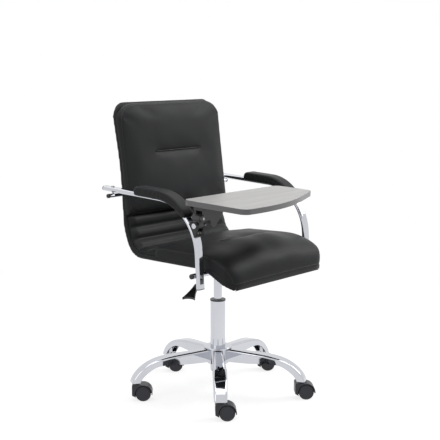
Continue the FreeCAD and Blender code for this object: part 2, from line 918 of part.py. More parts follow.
def lumbar_section(height_share):
    """Side outline of the pleated pad: one arc for each rib along the shell's sitting face."""
    inner = offset_run(shell_run(), -shell_thickness)
    radii = shell_radii(shell_thickness)
    rise = (back_cushion_low_z - inner[2].z) / (inner[1].z - inner[2].z)
    start = inner[2] + (inner[1] - inner[2]) * rise
    end = V(0, lumbar_tail_y, inner[3].z)
    face = Part.Wire(rounded_run([start, inner[2], inner[3], end], radii[1:3]))
    spots = face.discretize(Number=2 * lumbar_rib_count + 1)
    line_of_ribs = []
    for index, spot in enumerate(spots):
        before = spots[max(index - 1, 0)]
        after = spots[min(index + 1, len(spots) - 1)]
        along = (after - before).normalize()
        outward = V(0, along.z, -along.y)
        height = lumbar_rib_height if index % 2 else lumbar_rib_root
        line_of_ribs.append(spot + outward * (height * height_share))
    edges = []
    for index in range(0, len(spots) - 1, 2):
        edges.append(Part.Arc(*line_of_ribs[index:index + 3]).toShape())
    back_start = spots[0] + V(0, shell_thickness / 2, 0)
    corner = V(0, heel_y, seat_under_z + shell_thickness / 2)
    back_end = spots[-1] - V(0, 0, shell_thickness / 2)
    edges.append(line(line_of_ribs[-1], back_end))
    edges.append(line(back_end, corner))
    edges.append(line(corner, back_start))
    edges.append(line(back_start, line_of_ribs[0]))
    return Part.Wire(edges)


def lumbar_pad():
    half = body_half_width - lumbar_inset
    full = half - lumbar_fade
    places = ((-half, lumbar_fade_share), (-full, 1), (full, 1), (half, lumbar_fade_share))
    wires = []
    for x, height_share in places:
        wire = lumbar_section(height_share)
        wire.translate(X_AXIS * x)
        wires.append(wire)
    body = Part.makeLoft(wires, True, True)
    return body.cut(shell_cutter()).cut(back_cushion()).cut(seat_cushion())


# Arm tubes, pads and cross bars, drawn on the sitter's right

def tube_run():
    return [
        V(0, tube_rear_y, tube_rear_z),
        V(0, tube_corner_y, tube_corner_z),
        V(0, tube_low_y, tube_low_z),
    ]


def flat_oval(centre, along, width, thickness):
    """A flat-sided oval across the run, its wide side along X."""
    normal = along.cross(X_AXIS).normalize()
    half_flat = X_AXIS * ((width - thickness) / 2)
    up = normal * (thickness / 2)
    side = X_AXIS * (width / 2)
    edges = [
        line(centre - half_flat + up, centre + half_flat + up),
        Part.Arc(centre + half_flat + up, centre + side, centre + half_flat - up).toShape(),
        line(centre + half_flat - up, centre - half_flat - up),
        Part.Arc(centre - half_flat - up, centre - side, centre - half_flat + up).toShape(),
    ]
    return Part.Wire(edges)


def tube_body(wall):
    """The arm tube's outer body, or with a wall its hollow."""
    run = tube_run()
    along = (run[1] - run[0]).normalize()
    section = flat_oval(run[0], along, tube_width - 2 * wall, tube_thickness - 2 * wall)
    path = Part.Wire(rounded_run(run, [tube_bend_round]))
    body = path.makePipeShell([section], True, True)
    body.translate(X_AXIS * -arm_centre_x)
    return body


def end_caps():
    """Plugs that close both ends of a tube."""
    run = tube_run()
    caps = []
    for end, neighbour in ((run[0], run[1]), (run[2], run[1])):
        outward = (end - neighbour).normalize()
        section = flat_oval(end, outward, tube_width, tube_thickness)
        cap = prism(section, outward * cap_thickness)
        cap.translate(X_AXIS * -arm_centre_x)
        caps.append(cap)
    return caps


def lower_bar_y():
    """The lower bar lies against the rear face of the tubes' upright legs."""
    run = tube_run()
    along = (run[2] - run[1]).normalize()
    share = (lower_bar_z - run[1].z) / (run[2].z - run[1].z)
    leg_y = run[1].y + (run[2].y - run[1].y) * share
    return leg_y + (tube_thickness / 2 + lower_bar_radius) / abs(along.z)


def rear_bar_y():
    """The rear bar stands just off the bend in the back of the shell."""
    run = shell_run()
    inward = (run[0] - run[1]).normalize()
    onward = (run[2] - run[1]).normalize()
    bisector = (inward + onward).normalize()
    centre = run[1] + bisector * (back_bend_round / math.sin(inward.getAngle(onward) / 2))
    reach = back_bend_round - body_gap - rear_bar_radius
    rise = rear_bar_z - centre.z
    return centre.y - math.sqrt(reach * reach - rise * rise)


def bar(radius, y, z):
    return rod(radius, V(-bar_half_length, y, z), V(bar_half_length, y, z))


def bar_plugs():
    plugs = []
    rear = (rear_bar_radius, rear_bar_y(), rear_bar_z)
    lower = (lower_bar_radius, lower_bar_y(), lower_bar_z)
    for radius, y, z in (rear, lower):
        profile = ((0, 0), (radius, 0), (radius, plug_length), (0, plug_length))
        plug = turned(profile, (0, 0, plug_round, 0))
        plug.rotate(V(0, 0, 0), Y_AXIS, 90)
        plug.translate(V(bar_half_length, y, z))
        plugs.append(plug)
        plugs.append(mirrored(plug))
    return Part.makeCompound(plugs)


def tube_top_z(y):
    """Centre height of the tube's rear leg at a depth."""
    run = tube_run()
    share = (y - run[1].y) / (run[0].y - run[1].y)
    return run[1].z + (run[0].z - run[1].z) * share


def bar_screws():
    """Screws through the tubes into the two bars, with their heads on the tubes' outer faces."""
    half = tube_thickness / 2
    rear_y = rear_bar_y()
    rear_top = V(-arm_centre_x, rear_y, tube_top_z(rear_y) + half)
    rear_end = V(-arm_centre_x, rear_y, rear_bar_z)
    low_y = lower_bar_y()
    low_start = V(-arm_centre_x, low_y - lower_bar_radius - tube_thickness, lower_bar_z)
    low_end = V(-arm_centre_x, low_y, lower_bar_z)
    screws = []
    for start, end in ((rear_top, rear_end), (low_start, low_end)):
        outward = (start - end).normalize()
        head = rod(bar_screw_head_radius, start, start + outward * bar_screw_head_height)
        screw = rod(bar_screw_radius, start, end).fuse(head).removeSplitter()
        screws.append(screw)
        screws.append(mirrored(screw))
    return Part.makeCompound(screws)


def arm_tube():
    body = tube_body(0).cut(tube_body(tube_wall))
    return body.cut(bar_screws())


def pad_outline():
    """Side outline of the pad: straight at the rear, then round the tube's bend to a round tip."""
    run = tube_run()
    high = offset_run(run, -pad_height)
    low = offset_run(run, pad_lap)
    straight_angle = 90 - math.degrees(math.atan2(run[0].z - run[1].z, run[0].y - run[1].y))
    high_radius = tube_bend_round + pad_height
    low_radius = tube_bend_round - pad_lap
    tip_high_radius = tube_bend_round + pad_tip_height
    tip_radius = (tip_high_radius - low_radius) / 2
    angle = math.radians(pad_tip_angle)
    tip_end = bend_point(low_radius + tip_radius, pad_tip_angle)
    tip_end = tip_end - V(0, math.sin(angle), math.cos(angle)) * tip_radius
    top_start = bend_point(high_radius, straight_angle)
    top_end = bend_point(tip_high_radius, pad_tip_angle)
    low_start = bend_point(low_radius, straight_angle)
    low_end = bend_point(low_radius, pad_tip_angle)
    rear_top = on_run(high, pad_rear_y)
    rear_low = on_run(low, pad_rear_y)
    top_arc = corner_arc(rear_low, rear_top, top_start, pad_rear_round)
    low_arc = corner_arc(low_start, rear_low, rear_top, pad_edge_round)
    middle = (straight_angle + pad_tip_angle) / 2
    return Part.Wire([
        Part.Arc(*top_arc).toShape(),
        line(top_arc[2], top_start),
        leaving_arc(top_start, (top_start - top_arc[2]).normalize(), top_end),
        Part.Arc(top_end, tip_end, low_end).toShape(),
        Part.Arc(low_end, bend_point(low_radius, middle), low_start).toShape(),
        line(low_start, low_arc[0]),
        Part.Arc(*low_arc).toShape(),
        line(low_arc[2], top_arc[0]),
    ])


def on_run(points, y):
    """The place on the first stretch of a run at a depth."""
    share = (y - points[1].y) / (points[0].y - points[1].y)
    return points[1] + (points[0] - points[1]) * share


def arm_pad():
    """A padded rest along the top of the tube, lapping its sides towards the front."""
    half = pad_width / 2
    body = side_prism(pad_outline(), -half, half)
    rims = []
    for edge in body.Edges:
        first, last = edge.Vertexes[0], edge.Vertexes[-1]
        if abs(first.X - last.X) < least_edge:
            rims.append(edge)
    body = body.makeFillet(pad_edge_round, rims)
    body.translate(X_AXIS * -arm_centre_x)
    return body.cut(tube_body(0))


# Tablet mechanism, on the sitter's right arm

def tilted(shape):
    """Lean what the knuckle carries about the tilt bolt, front edge down."""
    moved = shape.copy()
    moved.rotate(V(0, tilt_axis_y, tilt_axis_z), X_AXIS, tablet_slope)
    return moved


def bend_centre():
    """Centre of the arm tube's bend."""
    run = tube_run()
    arc_start = corner_arc(run[0], run[1], run[2], tube_bend_round)[0]
    along = (run[1] - run[0]).normalize()
    return arc_start + V(0, along.z, -along.y) * -tube_bend_round


def bend_point(radius, degrees):
    angle = math.radians(degrees)
    return bend_centre() + V(0, -radius * math.cos(angle), radius * math.sin(angle))


def clamp_screws():
    """Two screws side by side, through the clamp into the tube."""
    face = tube_bend_round + tube_thickness / 2 + clamp_thickness
    screws = []
    for side in (-1, 1):
        x = X_AXIS * (side * clamp_screw_spread - arm_centre_x)
        start = bend_point(face, clamp_screw_angle) + x
        end = bend_point(face - clamp_screw_reach, clamp_screw_angle) + x
        outward = (start - end).normalize()
        head = rod(clamp_screw_head_radius, start, start + outward * clamp_screw_head_height)
        screws.append(rod(clamp_screw_radius, end, start).fuse(head).removeSplitter())
    return Part.makeCompound(screws)


def ear_places():
    """Low and high x of the two clamp ears."""
    half = clamp_width / 2
    outer = (-arm_centre_x - half, -arm_centre_x - half + ear_thickness)
    inner = (-arm_centre_x + half - ear_thickness, -arm_centre_x + half)
    return outer, inner


def tilt_point(x):
    return V(x, tilt_axis_y, tilt_axis_z)


def clamp_block():
    """A block on the front of the tube's bend, with two ears for the tilt bolt."""
    near = tube_bend_round + tube_thickness / 2
    far = near + clamp_thickness
    middle = (clamp_low_angle + clamp_high_angle) / 2
    outline = Part.Wire([
        Part.Arc(*[bend_point(near, a) for a in (clamp_low_angle, middle, clamp_high_angle)]).toShape(),
        line(bend_point(near, clamp_high_angle), bend_point(far, clamp_high_angle)),
        Part.Arc(*[bend_point(far, a) for a in (clamp_high_angle, middle, clamp_low_angle)]).toShape(),
        line(bend_point(far, clamp_low_angle), bend_point(near, clamp_low_angle)),
    ])
    half = clamp_width / 2
    block = side_prism(outline, -arm_centre_x - half, -arm_centre_x + half)
    outer, inner = ear_places()
    block = block.cut(clamp_screws())
    block = block.cut(rod(eye_radius + body_gap, tilt_point(outer[1]), tilt_point(inner[0])))
    return block.fuse([clamp_ear(*outer), clamp_ear(*inner)]).removeSplitter()


def clamp_ear(low_x, high_x):
    """A plate that widens from the tilt bolt's eye to the block."""
    root = tube_bend_round + tube_thickness / 2 + clamp_thickness / 2
    eye = tilt_point(0)
    low = bend_point(root, clamp_low_angle)
    high = bend_point(root, clamp_high_angle)
    low_side = V(0, low.z - eye.z, eye.y - low.y).normalize() * eye_radius
    high_side = V(0, eye.z - high.z, high.y - eye.y).normalize() * eye_radius
    web = side_prism(rounded_loop([low, eye + low_side, eye + high_side, high], (0, 0, 0, 0)), low_x, high_x)
    ear = web.fuse(rod(eye_radius, tilt_point(low_x), tilt_point(high_x)))
    return ear.cut(rod(tilt_bolt_radius, tilt_point(low_x), tilt_point(high_x)))


def tilt_bolt():
    half = clamp_width / 2
    outer = -arm_centre_x - half
    inner = -arm_centre_x + half
    outer_end = outer - tilt_bolt_head_height
    inner_end = inner + tilt_bolt_head_height
    body = rod(tilt_bolt_radius, tilt_point(outer_end), tilt_point(inner_end))
    for start, end in ((outer, outer_end), (inner, inner_end)):
        body = body.fuse(rod(tilt_bolt_head_radius, tilt_point(start), tilt_point(end)))
    return body.removeSplitter()


def fold_point(y):
    return V(-arm_centre_x, y, tilt_axis_z + fold_axis_rise)


def knuckle():
    """A lower eye on the tilt bolt and an upper eye for the fold pin, joined by a short neck."""
    low_x = ear_places()[0][1] + body_gap
    high_x = ear_places()[1][0] - body_gap
    half = fold_eye_length / 2
    rear = tilt_axis_y + half
    front = tilt_axis_y - half
    body = rod(eye_radius, tilt_point(low_x), tilt_point(high_x))
    body = body.fuse(rod(fold_eye_radius, fold_point(front), fold_point(rear)))
    neck_corner = V(low_x, tilt_axis_y - eye_radius, tilt_axis_z)
    neck = Part.makeBox(high_x - low_x, 2 * eye_radius, fold_axis_rise, neck_corner)
    body = body.fuse(neck)
    body = body.cut(rod(tilt_bolt_radius + running_gap, tilt_point(low_x), tilt_point(high_x)))
    body = body.cut(rod(fold_pin_radius, fold_point(front), fold_point(rear)))
    return tilted(body.removeSplitter())


def fold_pin_half():
    return fold_eye_length / 2 + body_gap + fold_ear_thickness


def fold_pin():
    half = fold_pin_half()
    return tilted(rod(fold_pin_radius, fold_point(tilt_axis_y - half), fold_point(tilt_axis_y + half)))


def board_low_z():
    return tilt_axis_z + board_top_rise - board_thickness


def bracket_low_z():
    return board_low_z() - bracket_height


def fold_arm():
    """Two ears on the fold pin, and a V-shaped strut that carries the far end of the bracket."""
    half = fold_pin_half()
    axis_z = tilt_axis_z + fold_axis_rise
    low = bracket_low_z()
    front = tilt_axis_y - half
    body = prism(strut_outline(), Y_AXIS * (2 * half))
    body = body.fuse(prism(rounded_loop(strut_corners(), (0, 0, 0)), Y_AXIS * strut_web_thickness))
    body.translate(Y_AXIS * front)
    above = Part.makeBox(bracket_width, 2 * half, bracket_height, V(-arm_centre_x, front, low))
    eye_half = fold_eye_length / 2 + body_gap
    ears = []
    for side in (-1, 1):
        inner = tilt_axis_y + side * eye_half
        outer = tilt_axis_y + side * half
        ears.append(rod(eye_radius, fold_point(inner), fold_point(outer)))
        ears.append(Part.makeBox(
            fold_ear_reach, fold_ear_thickness, low - axis_z + fold_ear_drop,
            V(-arm_centre_x, min(inner, outer), axis_z - fold_ear_drop),
        ))
    body = body.cut(above).fuse(ears)
    bore = rod(fold_pin_radius + running_gap, fold_point(front), fold_point(tilt_axis_y + half))
    return tilted(body.cut(bore).removeSplitter())


def strut_corners():
    """The V strut's two upper ends and the elbow between them."""
    high = bracket_low_z() + strut_thickness / 2
    elbow_z = tilt_axis_z + fold_axis_rise - strut_elbow_drop
    return [
        V(strut_start_reach - arm_centre_x, 0, high),
        V(strut_elbow_reach - arm_centre_x, 0, elbow_z),
        V(strut_end_reach - arm_centre_x, 0, high),
    ]


def strut_outline():
    """Outline of the V strut across the chair, rounded at its elbow."""
    half = strut_thickness / 2
    start, elbow, end = strut_corners()
    first = (elbow - start).normalize()
    second = (end - elbow).normalize()
    first_side = V(-first.z, 0, first.x)
    second_side = V(-second.z, 0, second.x)
    corner = (first_side + second_side) * (half / (1 + first_side.dot(second_side)))
    points = [
        start + first_side * half,
        elbow + corner,
        end + second_side * half,
        end - second_side * half,
        elbow - corner,
        start - first_side * half,
    ]
    return rounded_loop(points, (0, strut_elbow_round - strut_thickness, 0, 0, strut_elbow_round, 0))


def rounded_plan(low_x, high_x, low_y, high_y, z, radius):
    corners = [V(low_x, low_y, z), V(high_x, low_y, z), V(high_x, high_y, z), V(low_x, high_y, z)]
    return rounded_loop(corners, [radius] * 4)


def bracket_box():
    """Plan limits of the bracket where it meets the board."""
    low_x = -arm_centre_x - bracket_overhang
    half_depth = bracket_depth / 2
    return low_x, low_x + bracket_width, tilt_axis_y - half_depth, tilt_axis_y + half_depth


def tablet_screw_places():
    low_x, high_x, low_y, high_y = bracket_box()
    inset = tablet_screw_inset
    return [(x, y) for x in (low_x + inset, high_x - inset) for y in (low_y + inset, high_y - inset - inset)]


def tablet_screws():
    """Screws up through the bracket's rim into the board."""
    screws = []
    seat = board_low_z() - bracket_height / 3
    for x, y in tablet_screw_places():
        shank = rod(tablet_screw_radius, V(x, y, seat), V(x, y, seat + tablet_screw_depth))
        head = rod(tablet_screw_head_radius, V(x, y, seat - tablet_screw_head_height), V(x, y, seat))
        screws.append(shank.fuse(head).removeSplitter())
    return tilted(Part.makeCompound(screws))


def tablet_bracket():
    """A shallow funnel under the board with a flat rim for its screws."""
    low_x, high_x, low_y, high_y = bracket_box()
    top = board_low_z()
    rim_low = top - bracket_height / 3
    rim = prism(rounded_plan(low_x, high_x, low_y, high_y - tablet_screw_inset, rim_low, bracket_round),
                Z_AXIS * (top - rim_low))
    spare_x = (high_x - low_x) * (1 - bracket_foot_share)
    half = fold_pin_half()
    foot = rounded_plan(low_x, high_x - spare_x, tilt_axis_y - half, tilt_axis_y + half, bracket_low_z(),
                        bracket_round / 2)
    head = rounded_plan(low_x, high_x - spare_x / 2, tilt_axis_y - half, tilt_axis_y + half,
                        rim_low, bracket_round / 2)
    body = rim.fuse(Part.makeLoft([foot, head], True, True))
    return tilted(body.removeSplitter()).cut(tablet_screws())


def board_plan(inset):
    corners = [
        (board_right_x, board_rear_y, board_rear_right_round),
        (board_left_x, board_rear_y, board_rear_left_round),
        (board_left_x, board_left_front_y, board_left_front_round),
        (board_bow_x, board_bow_y, board_bow_round),
        (board_right_x, board_right_front_y, board_right_front_round),
    ]
    wire = rounded_loop([V(x, y, board_low_z()) for x, y, r in corners], [r for x, y, r in corners])
    if inset:
        return wire.makeOffset2D(-inset)
    return wire


def tablet_board():
    body = prism(board_plan(band_thickness), Z_AXIS * board_thickness)
    return tilted(body).cut(tablet_screws())


def edge_band():
    outer = prism(board_plan(0), Z_AXIS * board_thickness)
    inner = prism(board_plan(band_thickness), Z_AXIS * board_thickness)
    return tilted(outer.cut(inner))


def add_base(pieces):
    pieces["base_hub"] = hub()
    arm = base_arm()
    for number in range(caster_count):
        heading = star_turn - 90 + 360 / caster_count * number
        pieces["base_arm_%d" % (number + 1)] = placed(arm, heading, V(0, 0, 0))
    pieces["column_tube"] = column_tube()
    pieces["guide_bush"] = guide_bush()
    pieces["thrust_bearing"] = thrust_bearing()
    pieces["piston_rod"] = piston_rod()
    pieces["rod_clip"] = rod_clip()


def add_seat(pieces):
    pieces["lift_cylinder"] = lift_cylinder()
    pieces["valve_pin"] = valve_pin()
    pieces["mechanism_plate"] = mechanism_plate()
    pieces["mechanism_bolts"] = mechanism_bolts()
    pieces["lever_rod"] = lever_rod()
    pieces["lever_paddle"] = lever_paddle()
    pieces["outer_shell"] = outer_shell()
    pieces["back_cushion"] = back_cushion()
    pieces["lumbar_pad"] = lumbar_pad()
    pieces["seat_cushion"] = seat_cushion()


def add_arms(pieces):
    right_tube = arm_tube()
    right_pad = arm_pad()
    pieces["arm_tube_left"] = mirrored(right_tube)
    pieces["arm_tube_right"] = right_tube.cut(clamp_screws())
    pieces["arm_pad_right"] = right_pad
    pieces["arm_pad_left"] = mirrored(right_pad)
    caps = end_caps()
    pieces["tube_caps"] = Part.makeCompound(caps + [mirrored(cap) for cap in caps])
    screws = bar_screws()
    pieces["rear_bar"] = bar(rear_bar_radius, rear_bar_y(), rear_bar_z).cut(screws)
    pieces["lower_bar"] = bar(lower_bar_radius, lower_bar_y(), lower_bar_z).cut(screws)
    pieces["bar_plugs"] = bar_plugs()
    pieces["bar_screws"] = screws


def add_tablet(pieces):
    pieces["clamp_block"] = clamp_block()
    pieces["clamp_screws"] = clamp_screws()
    pieces["tilt_bolt"] = tilt_bolt()
    pieces["knuckle"] = knuckle()
    pieces["fold_pin"] = fold_pin()
    pieces["fold_arm"] = fold_arm()
    pieces["tablet_bracket"] = tablet_bracket()
    pieces["tablet_board"] = tablet_board()
    pieces["edge_band"] = edge_band()
    pieces["tablet_screws"] = tablet_screws()


def build():
    pieces = {}
    add_casters(pieces)
    add_base(pieces)
    add_seat(pieces)
    add_arms(pieces)
    add_tablet(pieces)
    return pieces


os.makedirs("parts", exist_ok=True)
for piece_name, piece_shape in build().items():
    piece_shape.exportStep("parts/%s.step" % piece_name)
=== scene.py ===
import math

import bmesh
import bpy
from bpy.props import FloatProperty, FloatVectorProperty, PointerProperty
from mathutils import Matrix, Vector, kdtree, noise
from mathutils.bvhtree import BVHTree


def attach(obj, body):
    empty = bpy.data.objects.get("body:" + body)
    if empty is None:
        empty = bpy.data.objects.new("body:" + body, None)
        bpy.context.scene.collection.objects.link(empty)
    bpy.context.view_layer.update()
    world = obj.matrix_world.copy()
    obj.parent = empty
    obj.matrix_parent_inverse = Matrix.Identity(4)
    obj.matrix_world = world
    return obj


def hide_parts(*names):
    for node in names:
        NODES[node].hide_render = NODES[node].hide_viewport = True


bl_info = {
    "name": "Swivel chair with writing tablet",
    "version": (1, 0, 0),
    "blender": (4, 5, 0),
    "location": "3D View > Sidebar > Chair",
    "description": "Upholstery, plating and studio for a swivel chair with a folding writing tablet",
    "category": "Object",
}

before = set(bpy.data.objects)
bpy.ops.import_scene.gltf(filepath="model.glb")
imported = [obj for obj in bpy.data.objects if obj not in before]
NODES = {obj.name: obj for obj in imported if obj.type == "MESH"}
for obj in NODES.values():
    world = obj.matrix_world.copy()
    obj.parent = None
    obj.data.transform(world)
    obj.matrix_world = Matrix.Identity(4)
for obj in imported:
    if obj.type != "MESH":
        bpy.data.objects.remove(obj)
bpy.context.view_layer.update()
CASTERS = range(1, 6)


def linear(hex_colour):
    """A screen colour such as "#c1c0bf" as the linear colour that shaders take."""
    parts = [int(hex_colour[place:place + 2], 16) / 255 for place in (1, 3, 5)]
    return [part / 12.92 if part <= 0.04045 else ((part + 0.055) / 1.055) ** 2.4 for part in parts]


def colour_choice(name, hex_colour, description):
    return FloatVectorProperty(
        name=name, description=description, default=linear(hex_colour),
        min=0, max=1, size=3, subtype="COLOR",
    )


def length_choice(name, size, description):
    return FloatProperty(name=name, description=description, default=size, min=0, unit="LENGTH")


# Settings

class ChairUpholstery(bpy.types.PropertyGroup):
    colour: colour_choice("Leatherette", "#2c2d2e", "Colour of the coated fabric")
    # Darker than the leatherette, partly as painted shade of the grooves and folds that the seams' rolls
    # lie in
    thread_and_groove_shade: colour_choice("Seams", "#121213", "Colour of the rolled seams")
    pebble: length_choice("Grain", 0.0018, "Size of one pebble of the embossed grain")
    mesh: length_choice("Mesh", 0.005, "Size of the mesh that a cover is made from")
    swell: length_choice("Swell", 0.004, "Most that a cover may move as its filling presses out")
    pressure: FloatProperty(
        name="Filling", description="Pressure of the filling", default=1.5, min=0, max=20
    )
    seam_width: length_choice("Seam width", 0.0032, "How wide a seam draws the cover in")
    seam_depth: length_choice("Seam depth", 0.0014, "How deep a seam draws the cover in")
    seam_roll: length_choice("Seam roll", 0.0010, "Radius of the rolled edge in a seam")


class ChairMetal(bpy.types.PropertyGroup):
    chrome: colour_choice("Chrome", "#c8cad0", "Colour of the plating")
    zinc: colour_choice("Zinc", "#a9aaab", "Colour of the plated fasteners")
    paint: colour_choice("Powder coat", "#1f2021", "Colour of the painted steel")
    haze: FloatProperty(
        name="Chrome haze", description="Roughness of the plating", default=0.05, min=0, max=1
    )


class ChairPlastic(bpy.types.PropertyGroup):
    casters: colour_choice("Casters", "#0b0d1b", "Colour of the caster hoods and wheels")
    black: colour_choice("Caps", "#1c1c1d", "Colour of the caps, the bush and the lever's grip")
    bracket: colour_choice("Bracket", "#49494b", "Colour of the tablet's bracket and arm")


class ChairTablet(bpy.types.PropertyGroup):
    light: colour_choice("Laminate, light", "#bab9b8", "Light streaks of the printed grain")
    dark: colour_choice("Laminate, dark", "#a6a5a3", "Dark streaks of the printed grain")
    edging: colour_choice("Edging", "#7b7b7d", "Colour of the edge band")


class ChairStudio(bpy.types.PropertyGroup):
    direction: FloatProperty(
        name="Camera direction", description="Camera's turn round the chair",
        default=math.radians(-48.65), subtype="ANGLE",
    )
    height: FloatProperty(
        name="Camera height", description="Camera's angle above the horizon",
        default=math.radians(9.05), subtype="ANGLE",
    )
    distance: length_choice("Camera distance", 3.3, "From the camera to what it looks at")
    target: FloatVectorProperty(
        name="Camera target", description="Point that the camera looks at",
        default=(0.00469, -0.00533, 0.5825), subtype="TRANSLATION",
    )
    lens: FloatProperty(name="Lens", description="Focal length in millimetres", default=82.0, min=1)
    daylight: FloatProperty(
        name="Room light", description="Strength of the even light", default=0.28, min=0
    )
    lamps: FloatProperty(
        name="Lamps", description="Strength of the softboxes together", default=1.0, min=0
    )


# Materials

def add(tree, kind, inputs=None, **settings):
    """Adds a shader node with its settings, and sets or links its inputs."""
    made = tree.nodes.new("ShaderNode" + kind)
    for name, value in settings.items():
        setattr(made, name, value)
    for name, value in (inputs or {}).items():
        if isinstance(value, bpy.types.NodeSocket):
            tree.links.new(value, made.inputs[name])
        else:
            made.inputs[name].default_value = value
    return made.outputs


def start(name):
    """A new material with an empty tree, and the piece's own coordinates in it."""
    made = bpy.data.materials.new(name)
    made.use_nodes = True
    made.node_tree.nodes.clear()
    return made, made.node_tree, add(made.node_tree, "TexCoord")["Object"]


def shade(colour, share):
    """A colour made darker or lighter, as a shader takes it."""
    return [min(part * share, 1.0) for part in colour] + [1.0]


def every(size):
    """Scale of a pattern whose features are about so many millimetres apart."""
    return 1000 / size


def leatherette():
    # Vinyl-coated fabric, calendered and embossed: a soft sheen that fine pebbles break up
    made, tree, place = start("embossed_leatherette")
    look = bpy.context.scene.chair_upholstery
    pebbles = add(tree, "TexVoronoi", {
        "Vector": place, "Scale": 1 / look.pebble, "Randomness": 0.9,
    }, feature="SMOOTH_F1")
    fine = add(tree, "TexNoise", {"Vector": place, "Scale": 2.5 / look.pebble, "Detail": 2.0})
    cloudy = add(tree, "TexNoise", {"Vector": place, "Scale": every(90.91), "Detail": 4.0})
    tone = add(tree, "MapRange", {"Value": cloudy["Fac"], "From Min": 0.35, "From Max": 0.65})
    colour = add(tree, "Mix", {
        0: tone[0], 6: shade(look.colour, 0.95), 7: shade(look.colour, 1.05),
    }, data_type="RGBA")
    rough = add(tree, "MapRange", {"Value": cloudy["Fac"], "To Min": 0.42, "To Max": 0.48})
    skin = add(tree, "Bump", {"Height": fine["Fac"], "Strength": 0.35, "Distance": 0.00015})
    grain = add(tree, "Bump", {
        "Height": pebbles["Distance"], "Strength": 0.5, "Distance": 0.0003, "Normal": skin[0],
    }, invert=True)
    shader = add(tree, "BsdfPrincipled", {
        "Base Color": colour[2], "Roughness": rough[0], "Normal": grain[0],
        "IOR": 1.5, "Specular IOR Level": 0.14,
    })
    add(tree, "OutputMaterial", {"Surface": shader[0]})
    return made


def seam_roll_with_painted_shade():
    # Bonded polyester thread in a rolled leatherette edge: darker than the leatherette, partly as painted
    # shade of the groove or fold that the roll lies in, with small painted stitch highlights
    made, tree, place = start("seam_roll_painted_shade")
    look = bpy.context.scene.chair_upholstery
    stitch = add(tree, "TexNoise", {"Vector": place, "Scale": every(3.333), "Detail": 2.0})
    # The lighter spots of this mix are painted stitch highlights
    colour = add(tree, "Mix", {
        0: stitch["Fac"], 6: shade(look.thread_and_groove_shade, 0.7), 7: shade(look.thread_and_groove_shade, 1.5),
    }, data_type="RGBA")
    rough = add(tree, "MapRange", {"Value": stitch["Fac"], "To Min": 0.45, "To Max": 0.65})
    twist = add(tree, "Bump", {"Height": stitch["Fac"], "Strength": 0.5, "Distance": 0.0002})
    shader = add(tree, "BsdfPrincipled", {
        "Base Color": colour[2], "Roughness": rough[0], "Normal": twist[0], "IOR": 1.5,
    })
    add(tree, "OutputMaterial", {"Surface": shader[0]})
    return made


def chrome():
    # Polished steel under nickel and chrome: a mirror with a slight bluish tone and polishing haze
    made, tree, place = start("polished_chrome_plate")
    look = bpy.context.scene.chair_metal
    haze = add(tree, "TexNoise", {"Vector": place, "Scale": every(40), "Detail": 5.0})
    colour = add(tree, "Mix", {
        0: haze["Fac"], 6: shade(look.chrome, 0.94), 7: shade(look.chrome, 1.02),
    }, data_type="RGBA")
    rough = add(tree, "MapRange", {
        "Value": haze["Fac"], "From Min": 0.3, "From Max": 0.7,
        "To Min": look.haze * 0.5, "To Max": look.haze * 1.5,
    })
    shader = add(tree, "BsdfPrincipled", {
        "Base Color": colour[2], "Roughness": rough[0], "Metallic": 1.0,
    })
    add(tree, "OutputMaterial", {"Surface": shader[0]})
    return made


def zinc():
    # Turned steel, electroplated with zinc: bright but brushed. The tool lines are drawn coarser than
    # a lathe leaves them, so that they show from near
    made, tree, place = start("zinc_plated_steel")
    look = bpy.context.scene.chair_metal
    lines = add(tree, "Mapping", {"Vector": place, "Scale": (every(0.6667), every(0.6667), every(11.11))})
    tool = add(tree, "TexNoise", {"Vector": lines[0], "Scale": 1.0, "Detail": 3.0})
    colour = add(tree, "Mix", {
        0: tool["Fac"], 6: shade(look.zinc, 0.85), 7: shade(look.zinc, 1.2),
    }, data_type="RGBA")
    rough = add(tree, "MapRange", {"Value": tool["Fac"], "To Min": 0.2, "To Max": 0.4})
    marks = add(tree, "Bump", {"Height": tool["Fac"], "Strength": 0.3, "Distance": 0.00005})
    shader = add(tree, "BsdfPrincipled", {
        "Base Color": colour[2], "Roughness": rough[0], "Normal": marks[0], "Metallic": 1.0,
    })
    add(tree, "OutputMaterial", {"Surface": shader[0]})
    return made


def powder_coat():
    # Steel under baked polyester powder: satin black with an orange peel of about a millimetre
    made, tree, place = start("satin_powder_coat")
    look = bpy.context.scene.chair_metal
    peel = add(tree, "TexNoise", {"Vector": place, "Scale": every(1.111), "Detail": 2.0})
    colour = add(tree, "Mix", {
        0: peel["Fac"], 6: shade(look.paint, 0.85), 7: shade(look.paint, 1.2),
    }, data_type="RGBA")
    rough = add(tree, "MapRange", {"Value": peel["Fac"], "To Min": 0.34, "To Max": 0.48})
    bumps = add(tree, "Bump", {"Height": peel["Fac"], "Strength": 0.4, "Distance": 0.0001})
    shader = add(tree, "BsdfPrincipled", {
        "Base Color": colour[2], "Roughness": rough[0], "Normal": bumps[0], "IOR": 1.5,
    })
    add(tree, "OutputMaterial", {"Surface": shader[0]})
    return made


